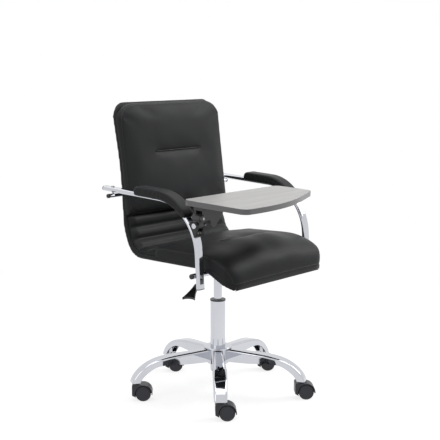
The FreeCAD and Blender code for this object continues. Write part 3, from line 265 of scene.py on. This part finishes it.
def moulded(name, tint, smooth):
    # Injection-moulded nylon from an eroded mould: an even grain with slight flow marks. The grain is
    # drawn coarser than such a mould leaves it, so that it shows from near
    made, tree, place = start(name)
    flow = add(tree, "TexNoise", {"Vector": place, "Scale": every(62.5), "Detail": 3.0})
    pits = add(tree, "TexNoise", {"Vector": place, "Scale": every(0.7143), "Detail": 3.0})
    colour = add(tree, "Mix", {
        0: flow["Fac"], 6: shade(tint, 0.85), 7: shade(tint, 1.15),
    }, data_type="RGBA")
    rough = add(tree, "MapRange", {"Value": pits["Fac"], "To Min": smooth, "To Max": smooth + 0.14})
    grain = add(tree, "Bump", {"Height": pits["Fac"], "Strength": 0.35, "Distance": 0.0001})
    shader = add(tree, "BsdfPrincipled", {
        "Base Color": colour[2], "Roughness": rough[0], "Normal": grain[0], "IOR": 1.53,
    })
    add(tree, "OutputMaterial", {"Surface": shader[0]})
    return made


def caster_nylon():
    return moulded("moulded_charcoal_nylon", bpy.context.scene.chair_plastic.casters, 0.30)


def black_nylon():
    return moulded("moulded_black_nylon", bpy.context.scene.chair_plastic.black, 0.28)


def grey_nylon():
    return moulded("moulded_grey_nylon", bpy.context.scene.chair_plastic.bracket, 0.36)


def laminate():
    # Melamine film pressed on chipboard: printed wood streaks along the board under a satin resin
    made, tree, place = start("melamine_laminate")
    look = bpy.context.scene.chair_tablet
    fibres = add(tree, "Mapping", {"Vector": place, "Scale": (every(125), every(5.263), every(16.67))})
    fibre = add(tree, "TexNoise", {"Vector": fibres[0], "Scale": 1.0, "Detail": 6.0, "Roughness": 0.6})
    rings = add(tree, "Mapping", {"Vector": place, "Scale": (every(555.6), every(38.46), every(125))})
    ring = add(tree, "TexNoise", {"Vector": rings[0], "Scale": 1.0, "Detail": 3.0, "Distortion": 0.4})
    streak = add(tree, "Mix", {0: 0.45, 2: fibre["Fac"], 3: ring["Fac"]})
    tone = add(tree, "MapRange", {"Value": streak[0], "From Min": 0.38, "From Max": 0.62})
    colour = add(tree, "Mix", {
        0: tone[0], 6: shade(look.dark, 1.0), 7: shade(look.light, 1.0),
    }, data_type="RGBA")
    rough = add(tree, "MapRange", {"Value": streak[0], "To Min": 0.34, "To Max": 0.46})
    pores = add(tree, "Bump", {"Height": fibre["Fac"], "Strength": 0.2, "Distance": 0.0001})
    shader = add(tree, "BsdfPrincipled", {
        "Base Color": colour[2], "Roughness": rough[0], "Normal": pores[0], "IOR": 1.5,
    })
    add(tree, "OutputMaterial", {"Surface": shader[0]})
    return made


def edging():
    # Extruded ABS band, planed flush: smooth, with faint lines along its run
    made, tree, place = start("abs_edge_band")
    look = bpy.context.scene.chair_tablet
    lines = add(tree, "Mapping", {"Vector": place, "Scale": (every(40), every(40), every(0.8333))})
    plane = add(tree, "TexNoise", {"Vector": lines[0], "Scale": 1.0, "Detail": 3.0})
    colour = add(tree, "Mix", {
        0: plane["Fac"], 6: shade(look.edging, 0.9), 7: shade(look.edging, 1.1),
    }, data_type="RGBA")
    rough = add(tree, "MapRange", {"Value": plane["Fac"], "To Min": 0.16, "To Max": 0.24})
    marks = add(tree, "Bump", {"Height": plane["Fac"], "Strength": 0.2, "Distance": 0.00005})
    shader = add(tree, "BsdfPrincipled", {
        "Base Color": colour[2], "Roughness": rough[0], "Normal": marks[0], "IOR": 1.52,
    })
    add(tree, "OutputMaterial", {"Surface": shader[0]})
    return made


FINISHES = {}


def finish(make):
    """The material that a function makes, made once."""
    if make not in FINISHES:
        FINISHES[make] = make()
    return FINISHES[make]


def dress_node(name, make, edge=0.0):
    """Gives a CAD piece its finish, and small rounded edges where asked."""
    piece = NODES[name]
    piece.data.materials.clear()
    piece.data.materials.append(finish(make))
    if edge:
        rounding = piece.modifiers.new("edges", "BEVEL")
        rounding.width = edge
        rounding.segments = 2
        rounding.limit_method = "ANGLE"
        rounding.harden_normals = True


# Lines that the pieces follow, in metres: corners, then the radius at each inner corner

# From one point of a line to the next
POINT_GAP = 0.004
SHELL_THICKNESS = 0.017
HALF_WIDTH = 0.237
SHELL_LINE = (
    ((0.254, 0.966), (0.211, 0.745), (0.202, 0.560), (0.165, 0.471), (-0.150, 0.471), (-0.256, 0.419)),
    (1.300, 0.200, 0.070, 0.120),
)
SEAT_SIDE_SEAM = (
    ((0.060, 0.486), (0.060, 0.5157), (-0.160, 0.5164), (-0.264, 0.4834), (-0.268, 0.437)),
    (0.014, 0.180, 0.085),
)

# Where an arm tube's middle plane is, and the y, z and radius of its front bend
ARM_X = 0.267
ARM_BEND = (0.0047, 0.5170, 0.165)
PAD_HALF_WIDTH = 0.025
# A pad's seam starts here at the rear, and rises so much for each unit that it goes back
PAD_REAR_Y = 0.088
PAD_RISE = 0.0487
# Degrees round the bend that the seam follows, from its start to the tip
PAD_BEND_TURNS = range(87, 50, -2)
# How far a pad's seam is from the tube's middle: at the bend's start, and how much less at the tip
PAD_SEAM_REACH = 0.020
PAD_SEAM_TAPER = 0.010


def pad_seam():
    """Side line of an arm pad's seam: straight at the rear, then round the bend and nearer the tube."""
    middle_y, middle_z, radius = ARM_BEND
    turns = [math.radians(degrees) for degrees in PAD_BEND_TURNS]
    bend = []
    for turn in turns:
        share = (turns[0] - turn) / (turns[0] - turns[-1])
        reach = radius + PAD_SEAM_REACH - PAD_SEAM_TAPER * share
        bend.append((middle_y - reach * math.cos(turn), middle_z + reach * math.sin(turn)))
    start_y, start_z = bend[0]
    return [(PAD_REAR_Y, start_z + (PAD_REAR_Y - start_y) * PAD_RISE), *bend]


def rounded(corners, radii, step=POINT_GAP):
    """Evenly spaced points along a run of corners, each inner corner rounded."""
    corners = [Vector(corner) for corner in corners]
    stops = [corners[0]]
    for before, corner, after, radius in zip(corners, corners[1:], corners[2:], radii):
        inward, onward = (before - corner).normalized(), (after - corner).normalized()
        half = inward.angle(onward) / 2
        setback, reach = radius / math.tan(half), radius / math.sin(half)
        centre = corner + (inward + onward).normalized() * reach
        first, last = corner + inward * setback - centre, corner + onward * setback - centre
        turns = max(2, math.ceil(radius * (math.pi - 2 * half) / step))
        sweep = math.pi - 2 * half
        for turn in range(turns + 1):
            share = turn / turns
            arm = first * math.sin((1 - share) * sweep) + last * math.sin(share * sweep)
            stops.append(centre + arm / math.sin(sweep))
    stops.append(corners[-1])
    points = [stops[0]]
    for first, last in zip(stops, stops[1:]):
        parts = max(1, math.ceil((last - first).length / step))
        points += [first.lerp(last, part / parts) for part in range(1, parts + 1)]
    return points


def shell_depth(place, line):
    """How far a point is from the shell's rear line towards the sitter, and that direction."""
    best = None
    spot = Vector((place.y, place.z))
    for first, last in zip(line, line[1:]):
        along = last - first
        share = min(max((spot - first).dot(along) / along.length_squared, 0), 1)
        offset = spot - (first + along * share)
        if best is None or offset.length < best[0].length:
            best = (offset, along.normalized())
    offset, along = best
    inner = Vector((along.y, -along.x))
    return math.copysign(offset.length, offset.dot(inner)), Vector((0, inner.x, inner.y))


# Covers

# Points of a solid that are nearer than this are one point
SAME_POINT = 0.00002
# Beside its sides a cushion keeps more of its solid's form
SIDE_EDGE = 0.030
# A cushion's cover is free from so high over the shell and so far from its tuck, and is held more
# and more over the fade before that
FREE_HEIGHT, HEIGHT_FADE = 0.015, 0.010
FREE_REACH, REACH_FADE = 0.012, 0.006
# How far a point moves towards the middle of its neighbours in one round
FOLLOW = 0.5
# How stiff the cloth is, and for how many steps its filling presses
CLOTH_QUALITY = 5
CLOTH_STRETCH = 60
CLOTH_BENDING = 10
CLOTH_STEPS = 20
# How a seam's run is evened out, before and after its groove is drawn
SEAM_ROUNDS = 20
GROOVE_ROUNDS = 2
DOWN = Vector((0, 0, -1))
REARWARD = Vector((0, 1, 0))


def new_object(name, data):
    """An object with this mesh, curve, lamp or camera, put in the scene."""
    made = bpy.data.objects.new(name, data)
    bpy.context.scene.collection.objects.link(made)
    return made


def apply(obj):
    """Replaces an object's mesh by the mesh that its modifiers give."""
    shaped = bpy.data.meshes.new_from_object(obj.evaluated_get(bpy.context.evaluated_depsgraph_get()))
    obj.modifiers.clear()
    obj.data = shaped


def even_copy(name, node_name, size, change=None):
    """A copy of a CAD solid as an even mesh; change() may first move its points."""
    work = bmesh.new()
    work.from_mesh(NODES[node_name].data)
    bmesh.ops.remove_doubles(work, verts=work.verts, dist=SAME_POINT)
    if change:
        for vert in work.verts:
            vert.co = change(vert.co)
    mesh = bpy.data.meshes.new(name)
    work.to_mesh(mesh)
    work.free()
    obj = new_object(name, mesh)
    even = obj.modifiers.new("even mesh", "REMESH")
    even.mode = "VOXEL"
    even.voxel_size = size
    apply(obj)
    return obj


def relax(obj, rounds, share=None):
    """Evens a cover out; share() gives how far a point follows its neighbours."""
    work = bmesh.new()
    work.from_mesh(obj.data)
    pull = [FOLLOW * (share(vert.co) if share else 1.0) for vert in work.verts]
    rings = [[edge.other_vert(vert) for edge in vert.link_edges] for vert in work.verts]
    for turn in range(rounds):
        middles = [sum((other.co for other in ring), Vector()) / len(ring) for ring in rings]
        for vert, middle, amount in zip(work.verts, middles, pull):
            vert.co = vert.co.lerp(middle, amount)
    work.to_mesh(obj.data)
    work.free()


def fill_out(obj, held, cap):
    """Presses a cover outwards as cloth; held() fixes points, cap() limits how far each may move."""
    scene = bpy.context.scene
    rest = [vert.co.copy() for vert in obj.data.vertices]
    group = obj.vertex_groups.new(name="held")
    for vert in obj.data.vertices:
        amount = held(vert.co)
        if amount > 0:
            group.add([vert.index], amount, "REPLACE")
    cloth = obj.modifiers.new("filling", "CLOTH")
    cloth.settings.quality = CLOTH_QUALITY
    cloth.settings.tension_stiffness = CLOTH_STRETCH
    cloth.settings.compression_stiffness = CLOTH_STRETCH
    cloth.settings.bending_stiffness = CLOTH_BENDING
    cloth.settings.vertex_group_mass = group.name
    cloth.settings.use_pressure = True
    cloth.settings.uniform_pressure_force = scene.chair_upholstery.pressure
    cloth.settings.effector_weights.gravity = 0.0
    cloth.collision_settings.use_collision = False
    cloth.point_cache.frame_start = 1
    cloth.point_cache.frame_end = CLOTH_STEPS
    for step in range(1, CLOTH_STEPS + 1):
        scene.frame_set(step)
    apply(obj)
    for vert, place in zip(obj.data.vertices, rest):
        move = vert.co - place
        limit = cap(place)
        if move.length > limit:
            move = move * (limit / move.length)
        vert.co = place + move
    scene.frame_set(1)
    obj.vertex_groups.clear()


def subdivide(obj):
    """Makes a cover's mesh finer and smoother."""
    finer = obj.modifiers.new("finer", "SUBSURF")
    finer.levels = 1
    finer.render_levels = 1
    apply(obj)


def push(obj, distance):
    """Moves each point of a cover along its normal by the distance that a function gives."""
    places = [(vert.co.copy(), vert.normal.copy()) for vert in obj.data.vertices]
    moved = []
    for place, normal in places:
        moved.extend(place + normal * distance(place))
    obj.data.vertices.foreach_set("co", moved)
    obj.data.update()


def draw_in(obj, points, width, depth, ends=0):
    """Draws a cover in along a line of points, less deeply over so many points at each end."""
    tree = kdtree.KDTree(len(points))
    for index, point in enumerate(points):
        tree.insert(point, index)
    tree.balance()

    def depth_at(place):
        spot, index, distance = tree.find(place)
        fade = min(1.0, min(index, len(points) - 1 - index) / ends) if ends else 1.0
        return -depth * fade * math.exp(-(distance / width) ** 2)

    push(obj, depth_at)


def on_surface(obj, points, sink=0.0, rounds=0):
    """Points moved to the nearest place on a cover, and evened out along their run in so many rounds."""
    surface = BVHTree.FromObject(obj, bpy.context.evaluated_depsgraph_get())
    for turn in range(rounds):
        points = [surface.find_nearest(point)[0] for point in points]
        threes = zip(points, points[1:], points[2:])
        inner = [(before + point * 2 + after) / 4 for before, point, after in threes]
        points = [points[0], *inner, points[-1]]
    placed = []
    for point in points:
        spot, normal, index, distance = surface.find_nearest(point)
        placed.append(spot - normal * sink)
    return placed


def dropped(obj, points, direction):
    """Points moved along a direction until they meet a cover."""
    surface = BVHTree.FromObject(obj, bpy.context.evaluated_depsgraph_get())
    spots = [surface.ray_cast(point, direction)[0] for point in points]
    return [spot for spot in spots if spot]


def spaced(low, high, step):
    """Evenly spaced numbers from low to high, about a step apart."""
    count = max(1, round((high - low) / step))
    return [low + (high - low) * index / count for index in range(count + 1)]


def thinned(points, gap):
    """A run of points without those that lie nearer than a gap to the one before."""
    kept = points[:1]
    for point in points[1:]:
        if (point - kept[-1]).length >= gap:
            kept.append(point)
    return kept


def roll(name, points, radius, closed=False):
    """The rolled edge of a seam, laid along points."""
    curve = bpy.data.curves.new(name, "CURVE")
    curve.dimensions = "3D"
    curve.bevel_depth = radius
    curve.bevel_resolution = 1
    spline = curve.splines.new("POLY")
    spline.points.add(len(points) - 1)
    for target, point in zip(spline.points, points):
        target.co = (*point, 1.0)
    spline.use_cyclic_u = closed
    made = new_object(name, curve)
    # The roll's dark colour is partly painted shade of the groove or fold that it lies in
    curve.materials.append(finish(seam_roll_with_painted_shade))
    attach(made, "seat")


def sew(name, obj, points, closed=False, radius=None, sunk_share=0.3):
    """A seam: the cover is drawn in along it and its rolled edge lies in the groove."""
    look = bpy.context.scene.chair_upholstery
    placed = on_surface(obj, points, rounds=SEAM_ROUNDS)
    draw_in(obj, placed, look.seam_width, look.seam_depth)
    laid = on_surface(obj, placed, sink=look.seam_roll * sunk_share, rounds=GROOVE_ROUNDS)
    roll(name, laid, radius or look.seam_roll, closed)


def sew_tuck(name, obj, tuck, direction, depth, radius, drop=0.05, width_share=1.4, spare=2):
    """A tuck: a sharp fold in the middle of a hollow, with the rolled edge of its seam standing in it."""
    above = [place - direction * drop for place in tuck]
    width = bpy.context.scene.chair_upholstery.seam_width * width_share
    draw_in(obj, dropped(obj, above, direction), width, depth, ends=4)
    folded = [place - direction * radius for place in dropped(obj, above, direction)]
    # The roll's dark colour stands in as painted shade along the fold's crease
    roll(name, folded[spare:-spare], radius)


def settle(obj, node_name):
    """Gives a cover its material and smooth shading, hides the CAD solid that it stands for and joins it
    to the seat.
    """
    obj.data.materials.clear()
    obj.data.materials.append(finish(leatherette))
    obj.data.polygons.foreach_set("use_smooth", [True] * len(obj.data.polygons))
    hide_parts(node_name)
    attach(obj, "seat")


def wrinkle(obj, size, height):
    """Slight unevenness of a cover stretched over foam."""
    push(obj, lambda place: noise.noise(place / size) * height)


def sunk(place, line, depth=0.007, proud=0.0004, near_shell=0.0008, near_side=0.003):
    """A cushion's rear face goes into the shell, and its sides end flush with it."""
    place = place.copy()
    height, inner = shell_depth(place, line)
    if height < SHELL_THICKNESS + near_shell:
        place = place - inner * depth
    if abs(place.x) > HALF_WIDTH - near_side:
        place.x = math.copysign(HALF_WIDTH + proud, place.x)
    return place


def round_nose(place, front=-0.295, radius=0.062):
    """The front corners of the seat or the shell, rounded in plan."""
    reach = min(max(front + radius - place.y, 0.0), radius)
    half = HALF_WIDTH - radius + math.sqrt(radius ** 2 - reach ** 2)
    if abs(place.x) > half:
        place.x = math.copysign(half, place.x)
    return place


def clamp_share(place, line):
    """A cushion is held where it lies on the shell, and is free further above it."""
    height, inner = shell_depth(place, line)
    return min(max((SHELL_THICKNESS + FREE_HEIGHT - height) / HEIGHT_FADE, 0.0), 1.0)


def tuck_share(place, tuck):
    """A cushion is held where its tuck is sewn down."""
    first, last = tuck[0], tuck[-1]
    along = (last - first).normalized()
    reach = (place - first).dot(along)
    off = (place - first - along * reach).length
    if not 0 < reach < (last - first).length:
        return 0.0
    return min(max((FREE_REACH - off) / REACH_FADE, 0.0), 1.0)


def inside_share(place, margin=0.004):
    """From 0 at a cushion's sides to 1 further in."""
    return min(max((HALF_WIDTH - margin - abs(place.x)) / SIDE_EDGE, 0.0), 1.0)


def side_cap(place, swell, margin=0.001, least=0.12):
    """A cushion swells over its faces and hardly at its sides."""
    share = (HALF_WIDTH + margin - abs(place.x)) / SIDE_EDGE
    return swell * min(max(share, least), 1.0)


def fill_cushion(obj, line, tuck, swell):
    """Presses a cushion's cover out where neither the shell nor the tuck holds it."""
    def held(place):
        return max(clamp_share(place, line), tuck_share(place, tuck))

    fill_out(obj, held, lambda place: side_cap(place, swell))
    relax(obj, rounds=6, share=inside_share)
    subdivide(obj)
    wrinkle(obj, size=0.06, height=0.0003)


class CHAIR_OT_shell(bpy.types.Operator):
    """Upholstered board that runs under the seat and up behind the back"""
    bl_idname = "chair.shell"
    bl_label = "Shell"
    # The front corners are rounded once with the seat's and once more to these
    front_y = -0.262
    front_radius = 0.030

    def execute(self, context):
        def rounded_front(place):
            return round_nose(round_nose(place), self.front_y, self.front_radius)

        size = context.scene.chair_upholstery.mesh
        obj = even_copy("shell_cover", "outer_shell", size, rounded_front)
        relax(obj, rounds=3)
        wrinkle(obj, size=0.05, height=0.0003)
        settle(obj, "outer_shell")
        return {"FINISHED"}


class CHAIR_OT_seat_cushion(bpy.types.Operator):
    """Seat cushion with a waterfall front, seams round its top panel and a sewn tuck"""
    bl_idname = "chair.seat_cushion"
    bl_label = "Seat cushion"
    tuck_y = -0.105
    tuck_half = 0.115
    # Height that the tuck's points are dropped from
    over_seat = 0.55
    hollow_width, hollow_depth = 0.014, 0.0045
    fold_depth, fold_radius = 0.0022, 0.0013
    # The y and z of the seam across the front, and how far apart its points are on a half width of one
    front_seam = (-0.290, 0.441)
    front_gap_share = 0.02

    def execute(self, context):
        look = context.scene.chair_upholstery
        line = rounded(*SHELL_LINE)
        obj = even_copy(
            "seat_cover", "seat_cushion", look.mesh, lambda place: round_nose(sunk(place, line))
        )
        relax(obj, rounds=3)
        relax(obj, rounds=24, share=inside_share)
        run = spaced(-self.tuck_half, self.tuck_half, POINT_GAP)
        tuck = dropped(obj, [Vector((x, self.tuck_y, self.over_seat)) for x in run], DOWN)
        draw_in(obj, tuck, self.hollow_width, self.hollow_depth, ends=10)
        fill_cushion(obj, line, tuck, look.swell)
        sew_tuck("seat_tuck_fold", obj, tuck, DOWN, self.fold_depth, self.fold_radius)
        sew("seat_top_seam", obj, self.seam())
        settle(obj, "seat_cushion")
        return {"FINISHED"}

    def seam(self):
        """Run of the top panel's seam: down the right side, across the front and up the left side."""
        side = rounded(*SEAT_SIDE_SEAM)
        right = [Vector((-HALF_WIDTH, y, z)) for y, z in side]
        left = [Vector((HALF_WIDTH, y, z)) for y, z in reversed(side)]
        shares = spaced(-1, 1, self.front_gap_share)
        front = [Vector((HALF_WIDTH * share, *self.front_seam)) for share in shares]
        return thinned([round_nose(place) for place in right + front + left], POINT_GAP / 2)


class CHAIR_OT_back_cushion(bpy.types.Operator):
    """Back cushion with a seam round its front panel and a sewn tuck"""
    bl_idname = "chair.back_cushion"
    bl_label = "Back cushion"
    tuck_z = 0.806
    tuck_half = 0.112
    hollow_width, hollow_depth = 0.014, 0.006
    fold_depth, fold_radius = 0.0040, 0.0018
    seam_half, seam_low, seam_high = HALF_WIDTH - 0.001, 0.606, 0.963
    # Radii of the seam's upper and lower corners
    corner_high, corner_low = 0.056, 0.045
    # Where the seam's plane starts, and how much further back it is for each unit of height
    foot_y, foot_z, lean = 0.1654, 0.604, 0.1284

    def execute(self, context):
        look = context.scene.chair_upholstery
        line = rounded(*SHELL_LINE)
        obj = even_copy("back_cover", "back_cushion", look.mesh, lambda place: sunk(place, line))
        relax(obj, rounds=3)
        relax(obj, rounds=60, share=inside_share)
        run = spaced(-self.tuck_half, self.tuck_half, POINT_GAP)
        tuck = dropped(obj, [Vector((x, 0.0, self.tuck_z)) for x in run], REARWARD)
        draw_in(obj, tuck, self.hollow_width, self.hollow_depth, ends=8)
        fill_cushion(obj, line, tuck, look.swell)
        sew_tuck("back_tuck_fold", obj, tuck, REARWARD, self.fold_depth, self.fold_radius)
        sew("back_panel_seam", obj, self.seam(), closed=True)
        settle(obj, "back_cushion")
        return {"FINISHED"}

    def seam(self):
        """Run of the front panel's seam, from the middle of its upper edge and round."""
        half, low, high = self.seam_half, self.seam_low, self.seam_high
        loop = rounded(
            ((0, high), (-half, high), (-half, low), (half, low), (half, high), (0, high)),
            (self.corner_high, self.corner_low, self.corner_low, self.corner_high),
        )
        return [Vector((x, self.foot_y + (z - self.foot_z) * self.lean, z)) for x, z in loop]


class CHAIR_OT_lumbar_pad(bpy.types.Operator):
    """Pleated pad between the back and the seat"""
    bl_idname = "chair.lumbar_pad"
    bl_label = "Lumbar pad"
    mesh_share = 0.7

    def execute(self, context):
        size = context.scene.chair_upholstery.mesh * self.mesh_share
        line = rounded(*SHELL_LINE)
        obj = even_copy("lumbar_cover", "lumbar_pad", size, lambda place: sunk(place, line))
        relax(obj, rounds=2)
        subdivide(obj)
        wrinkle(obj, size=0.03, height=0.0004)
        settle(obj, "lumbar_pad")
        return {"FINISHED"}


class CHAIR_OT_arm_pads(bpy.types.Operator):
    """Padded armrests with a seam along each top edge"""
    bl_idname = "chair.arm_pads"
    bl_label = "Arm pads"
    mesh_size = 0.003
    seam_radius = 0.0006

    def execute(self, context):
        for side, middle in (("right", -ARM_X), ("left", ARM_X)):
            obj = even_copy("arm_cover_" + side, "arm_pad_" + side, self.mesh_size)
            relax(obj, rounds=2)
            for number, reach in enumerate((-PAD_HALF_WIDTH, PAD_HALF_WIDTH)):
                seam = [Vector((middle + reach, y, z)) for y, z in pad_seam()]
                sew("arm_pad_%s_seam_%d" % (side, number + 1), obj, seam, radius=self.seam_radius)
            settle(obj, "arm_pad_" + side)
        return {"FINISHED"}


class CHAIR_OT_metal(bpy.types.Operator):
    """Chromed frame and base, plated fasteners and painted steel"""
    bl_idname = "chair.metal"
    bl_label = "Metal parts"
    chromed = (
        "base_hub", "column_tube", "lift_cylinder", "arm_tube_right", "arm_tube_left",
        "rear_bar", "lower_bar", "tilt_bolt",
    )
    plated = (
        "thrust_bearing", "piston_rod", "rod_clip", "valve_pin", "mechanism_bolts",
        "bar_screws", "clamp_screws", "fold_pin", "tablet_screws",
    )
    painted = ("mechanism_plate", "lever_rod", "clamp_block")

    def execute(self, context):
        for name in self.chromed:
            dress_node(name, chrome)
        for name in self.plated:
            dress_node(name, zinc)
        for name in self.painted:
            dress_node(name, powder_coat, edge=0.0006)
        for number in CASTERS:
            dress_node("base_arm_%d" % number, chrome)
            dress_node("caster_%d_pins" % number, zinc)
        return {"FINISHED"}


class CHAIR_OT_plastic(bpy.types.Operator):
    """Casters, caps, bush, lever grip and the tablet's bracket"""
    bl_idname = "chair.plastic"
    bl_label = "Plastic parts"

    def execute(self, context):
        for number in CASTERS:
            for part in ("hood", "wheel_left", "wheel_right"):
                dress_node("caster_%d_%s" % (number, part), caster_nylon)
        for name in ("guide_bush", "lever_paddle", "tube_caps", "bar_plugs"):
            dress_node(name, black_nylon)
        for name in ("knuckle", "fold_arm", "tablet_bracket"):
            dress_node(name, grey_nylon, edge=0.0008)
        return {"FINISHED"}


class CHAIR_OT_tablet(bpy.types.Operator):
    """Laminated board with its edge band"""
    bl_idname = "chair.tablet"
    bl_label = "Tablet"

    def execute(self, context):
        dress_node("tablet_board", laminate)
        dress_node("edge_band", edging)
        return {"FINISHED"}


class CHAIR_OT_studio(bpy.types.Operator):
    """Pale floor, even room light, softboxes and camera"""
    bl_idname = "chair.studio"
    bl_label = "Studio"
    # Name, place, size and power of each softbox. All of them face one point of the chair
    softboxes = (
        ("key_light", (-0.8, -1.3, 3.5), 2.2, 12.0),
        ("side_light", (-3.4, 0.4, 2.0), 2.2, 14.0),
        ("top_light", (0.2, 0.2, 3.4), 4.4, 50.0),
        ("rim_light", (2.6, -1.8, 2.6), 1.8, 52.0),
    )
    aim = (0, 0, 0.5)
    floor_half = 40.0
    # How pale the floor is to the chair, how much a shadow shows on it, and how bright it is in one
    paper, shadow, glow = 0.35, 0.42, 0.78
    # The floor shows shadows up to the first distance, and is plain white from the second one
    shadow_edge, white_edge = 0.6, 2.2

    def execute(self, context):
        look = context.scene.chair_studio
        self.floor()
        self.room(context.scene, look.daylight)
        for name, place, size, power in self.softboxes:
            self.softbox(name, place, size, power * look.lamps)
        self.camera(context.scene, look)
        context.scene.view_settings.view_transform = "Standard"
        return {"FINISHED"}

    def seen(self, tree):
        """One for rays that show the background: from the camera, in mirrors and through glass."""
        path = add(tree, "LightPath")
        direct = add(tree, "Math", {
            0: path["Is Camera Ray"], 1: path["Is Glossy Ray"],
        }, operation="MAXIMUM")
        return add(tree, "Math", {0: direct[0], 1: path["Is Transmission Ray"]}, operation="MAXIMUM")[0]

    def floor(self):
        """A wide floor that lights the chair as pale paper, and shows as white with soft shadows."""
        half = self.floor_half
        corners = [(-half, -half, 0), (half, -half, 0), (half, half, 0), (-half, half, 0)]
        mesh = bpy.data.meshes.new("studio_floor")
        mesh.from_pydata(corners, [], [(0, 1, 2, 3)])
        floor = new_object("studio_floor", mesh)
        paper = bpy.data.materials.new("studio_paper")
        paper.use_nodes = True
        tree = paper.node_tree
        tree.nodes.clear()
        plain = add(tree, "BsdfDiffuse", {"Color": shade((1, 1, 1), self.paper)})
        shaded = add(tree, "BsdfDiffuse", {"Color": shade((1, 1, 1), self.shadow)})
        pale = add(tree, "Emission", {"Strength": self.glow})
        near = add(tree, "AddShader", {0: shaded[0], 1: pale[0]})
        white = add(tree, "Emission", {"Strength": 1.0})
        place = add(tree, "TexCoord")["Object"]
        away = add(tree, "VectorMath", {0: place}, operation="LENGTH")["Value"]
        far = add(tree, "MapRange", {
            "Value": away, "From Min": self.shadow_edge, "From Max": self.white_edge,
        })
        shown = add(tree, "MixShader", {0: far[0], 1: near[0], 2: white[0]})
        both = add(tree, "MixShader", {0: self.seen(tree), 1: plain[0], 2: shown[0]})
        add(tree, "OutputMaterial", {"Surface": both[0]})
        mesh.materials.append(paper)

    def room(self, scene, daylight):
        """Even light all round, which the camera and mirrors see as white."""
        world = bpy.data.worlds.new("studio_room")
        scene.world = world
        world.use_nodes = True
        tree = world.node_tree
        tree.nodes.clear()
        lit = add(tree, "Background", {"Color": (1, 1, 1, 1), "Strength": daylight})
        white = add(tree, "Background", {"Color": (1, 1, 1, 1), "Strength": 1.0})
        both = add(tree, "MixShader", {0: self.seen(tree), 1: lit[0], 2: white[0]})
        add(tree, "OutputWorld", {"Surface": both[0]})

    def softbox(self, name, place, size, power):
        """A square lamp that lights the chair and isn't seen itself."""
        data = bpy.data.lights.new(name, "AREA")
        data.shape = "SQUARE"
        data.size = size
        data.energy = power
        lamp = new_object(name, data)
        lamp.location = place
        facing = Vector(self.aim) - Vector(place)
        lamp.rotation_euler = facing.to_track_quat("-Z", "Y").to_euler()
        lamp.visible_camera = False

    def camera(self, scene, look):
        """A camera on a circle round its target, at the chosen direction and height."""
        turn, rise = look.direction, look.height
        level = math.cos(rise)
        back = Vector((math.sin(turn) * level, -math.cos(turn) * level, math.sin(rise)))
        data = bpy.data.cameras.new("camera")
        data.lens = look.lens
        camera = new_object("camera", data)
        camera.location = Vector(look.target) + back * look.distance
        camera.rotation_euler = (-back).to_track_quat("-Z", "Y").to_euler()
        scene.camera = camera


OPERATORS = (
    CHAIR_OT_shell, CHAIR_OT_seat_cushion, CHAIR_OT_back_cushion, CHAIR_OT_lumbar_pad,
    CHAIR_OT_arm_pads, CHAIR_OT_metal, CHAIR_OT_plastic, CHAIR_OT_tablet, CHAIR_OT_studio,
)
SETTINGS = {
    "chair_upholstery": ChairUpholstery,
    "chair_metal": ChairMetal,
    "chair_plastic": ChairPlastic,
    "chair_tablet": ChairTablet,
    "chair_studio": ChairStudio,
}


class CHAIR_PT_steps(bpy.types.Panel):
    """Steps that dress the chair, in order"""
    bl_idname = "CHAIR_PT_steps"
    bl_label = "Chair"
    bl_space_type = "VIEW_3D"
    bl_region_type = "UI"
    bl_category = "Chair"

    def draw(self, context):
        for operator in OPERATORS:
            self.layout.operator(operator.bl_idname)
        for name, group in SETTINGS.items():
            column = self.layout.column()
            for setting in group.__annotations__:
                column.prop(getattr(context.scene, name), setting)


def register():
    for made in (*SETTINGS.values(), *OPERATORS, CHAIR_PT_steps):
        bpy.utils.register_class(made)
    for name, group in SETTINGS.items():
        setattr(bpy.types.Scene, name, PointerProperty(type=group))


def unregister():
    for name in SETTINGS:
        delattr(bpy.types.Scene, name)
    for made in (CHAIR_PT_steps, *reversed(OPERATORS), *reversed(tuple(SETTINGS.values()))):
        bpy.utils.unregister_class(made)


def main():
    register()
    for operator in OPERATORS:
        step = operator.bl_idname.split(".")[1]
        getattr(bpy.ops.chair, step)()


if __name__ == "__main__":
    main()
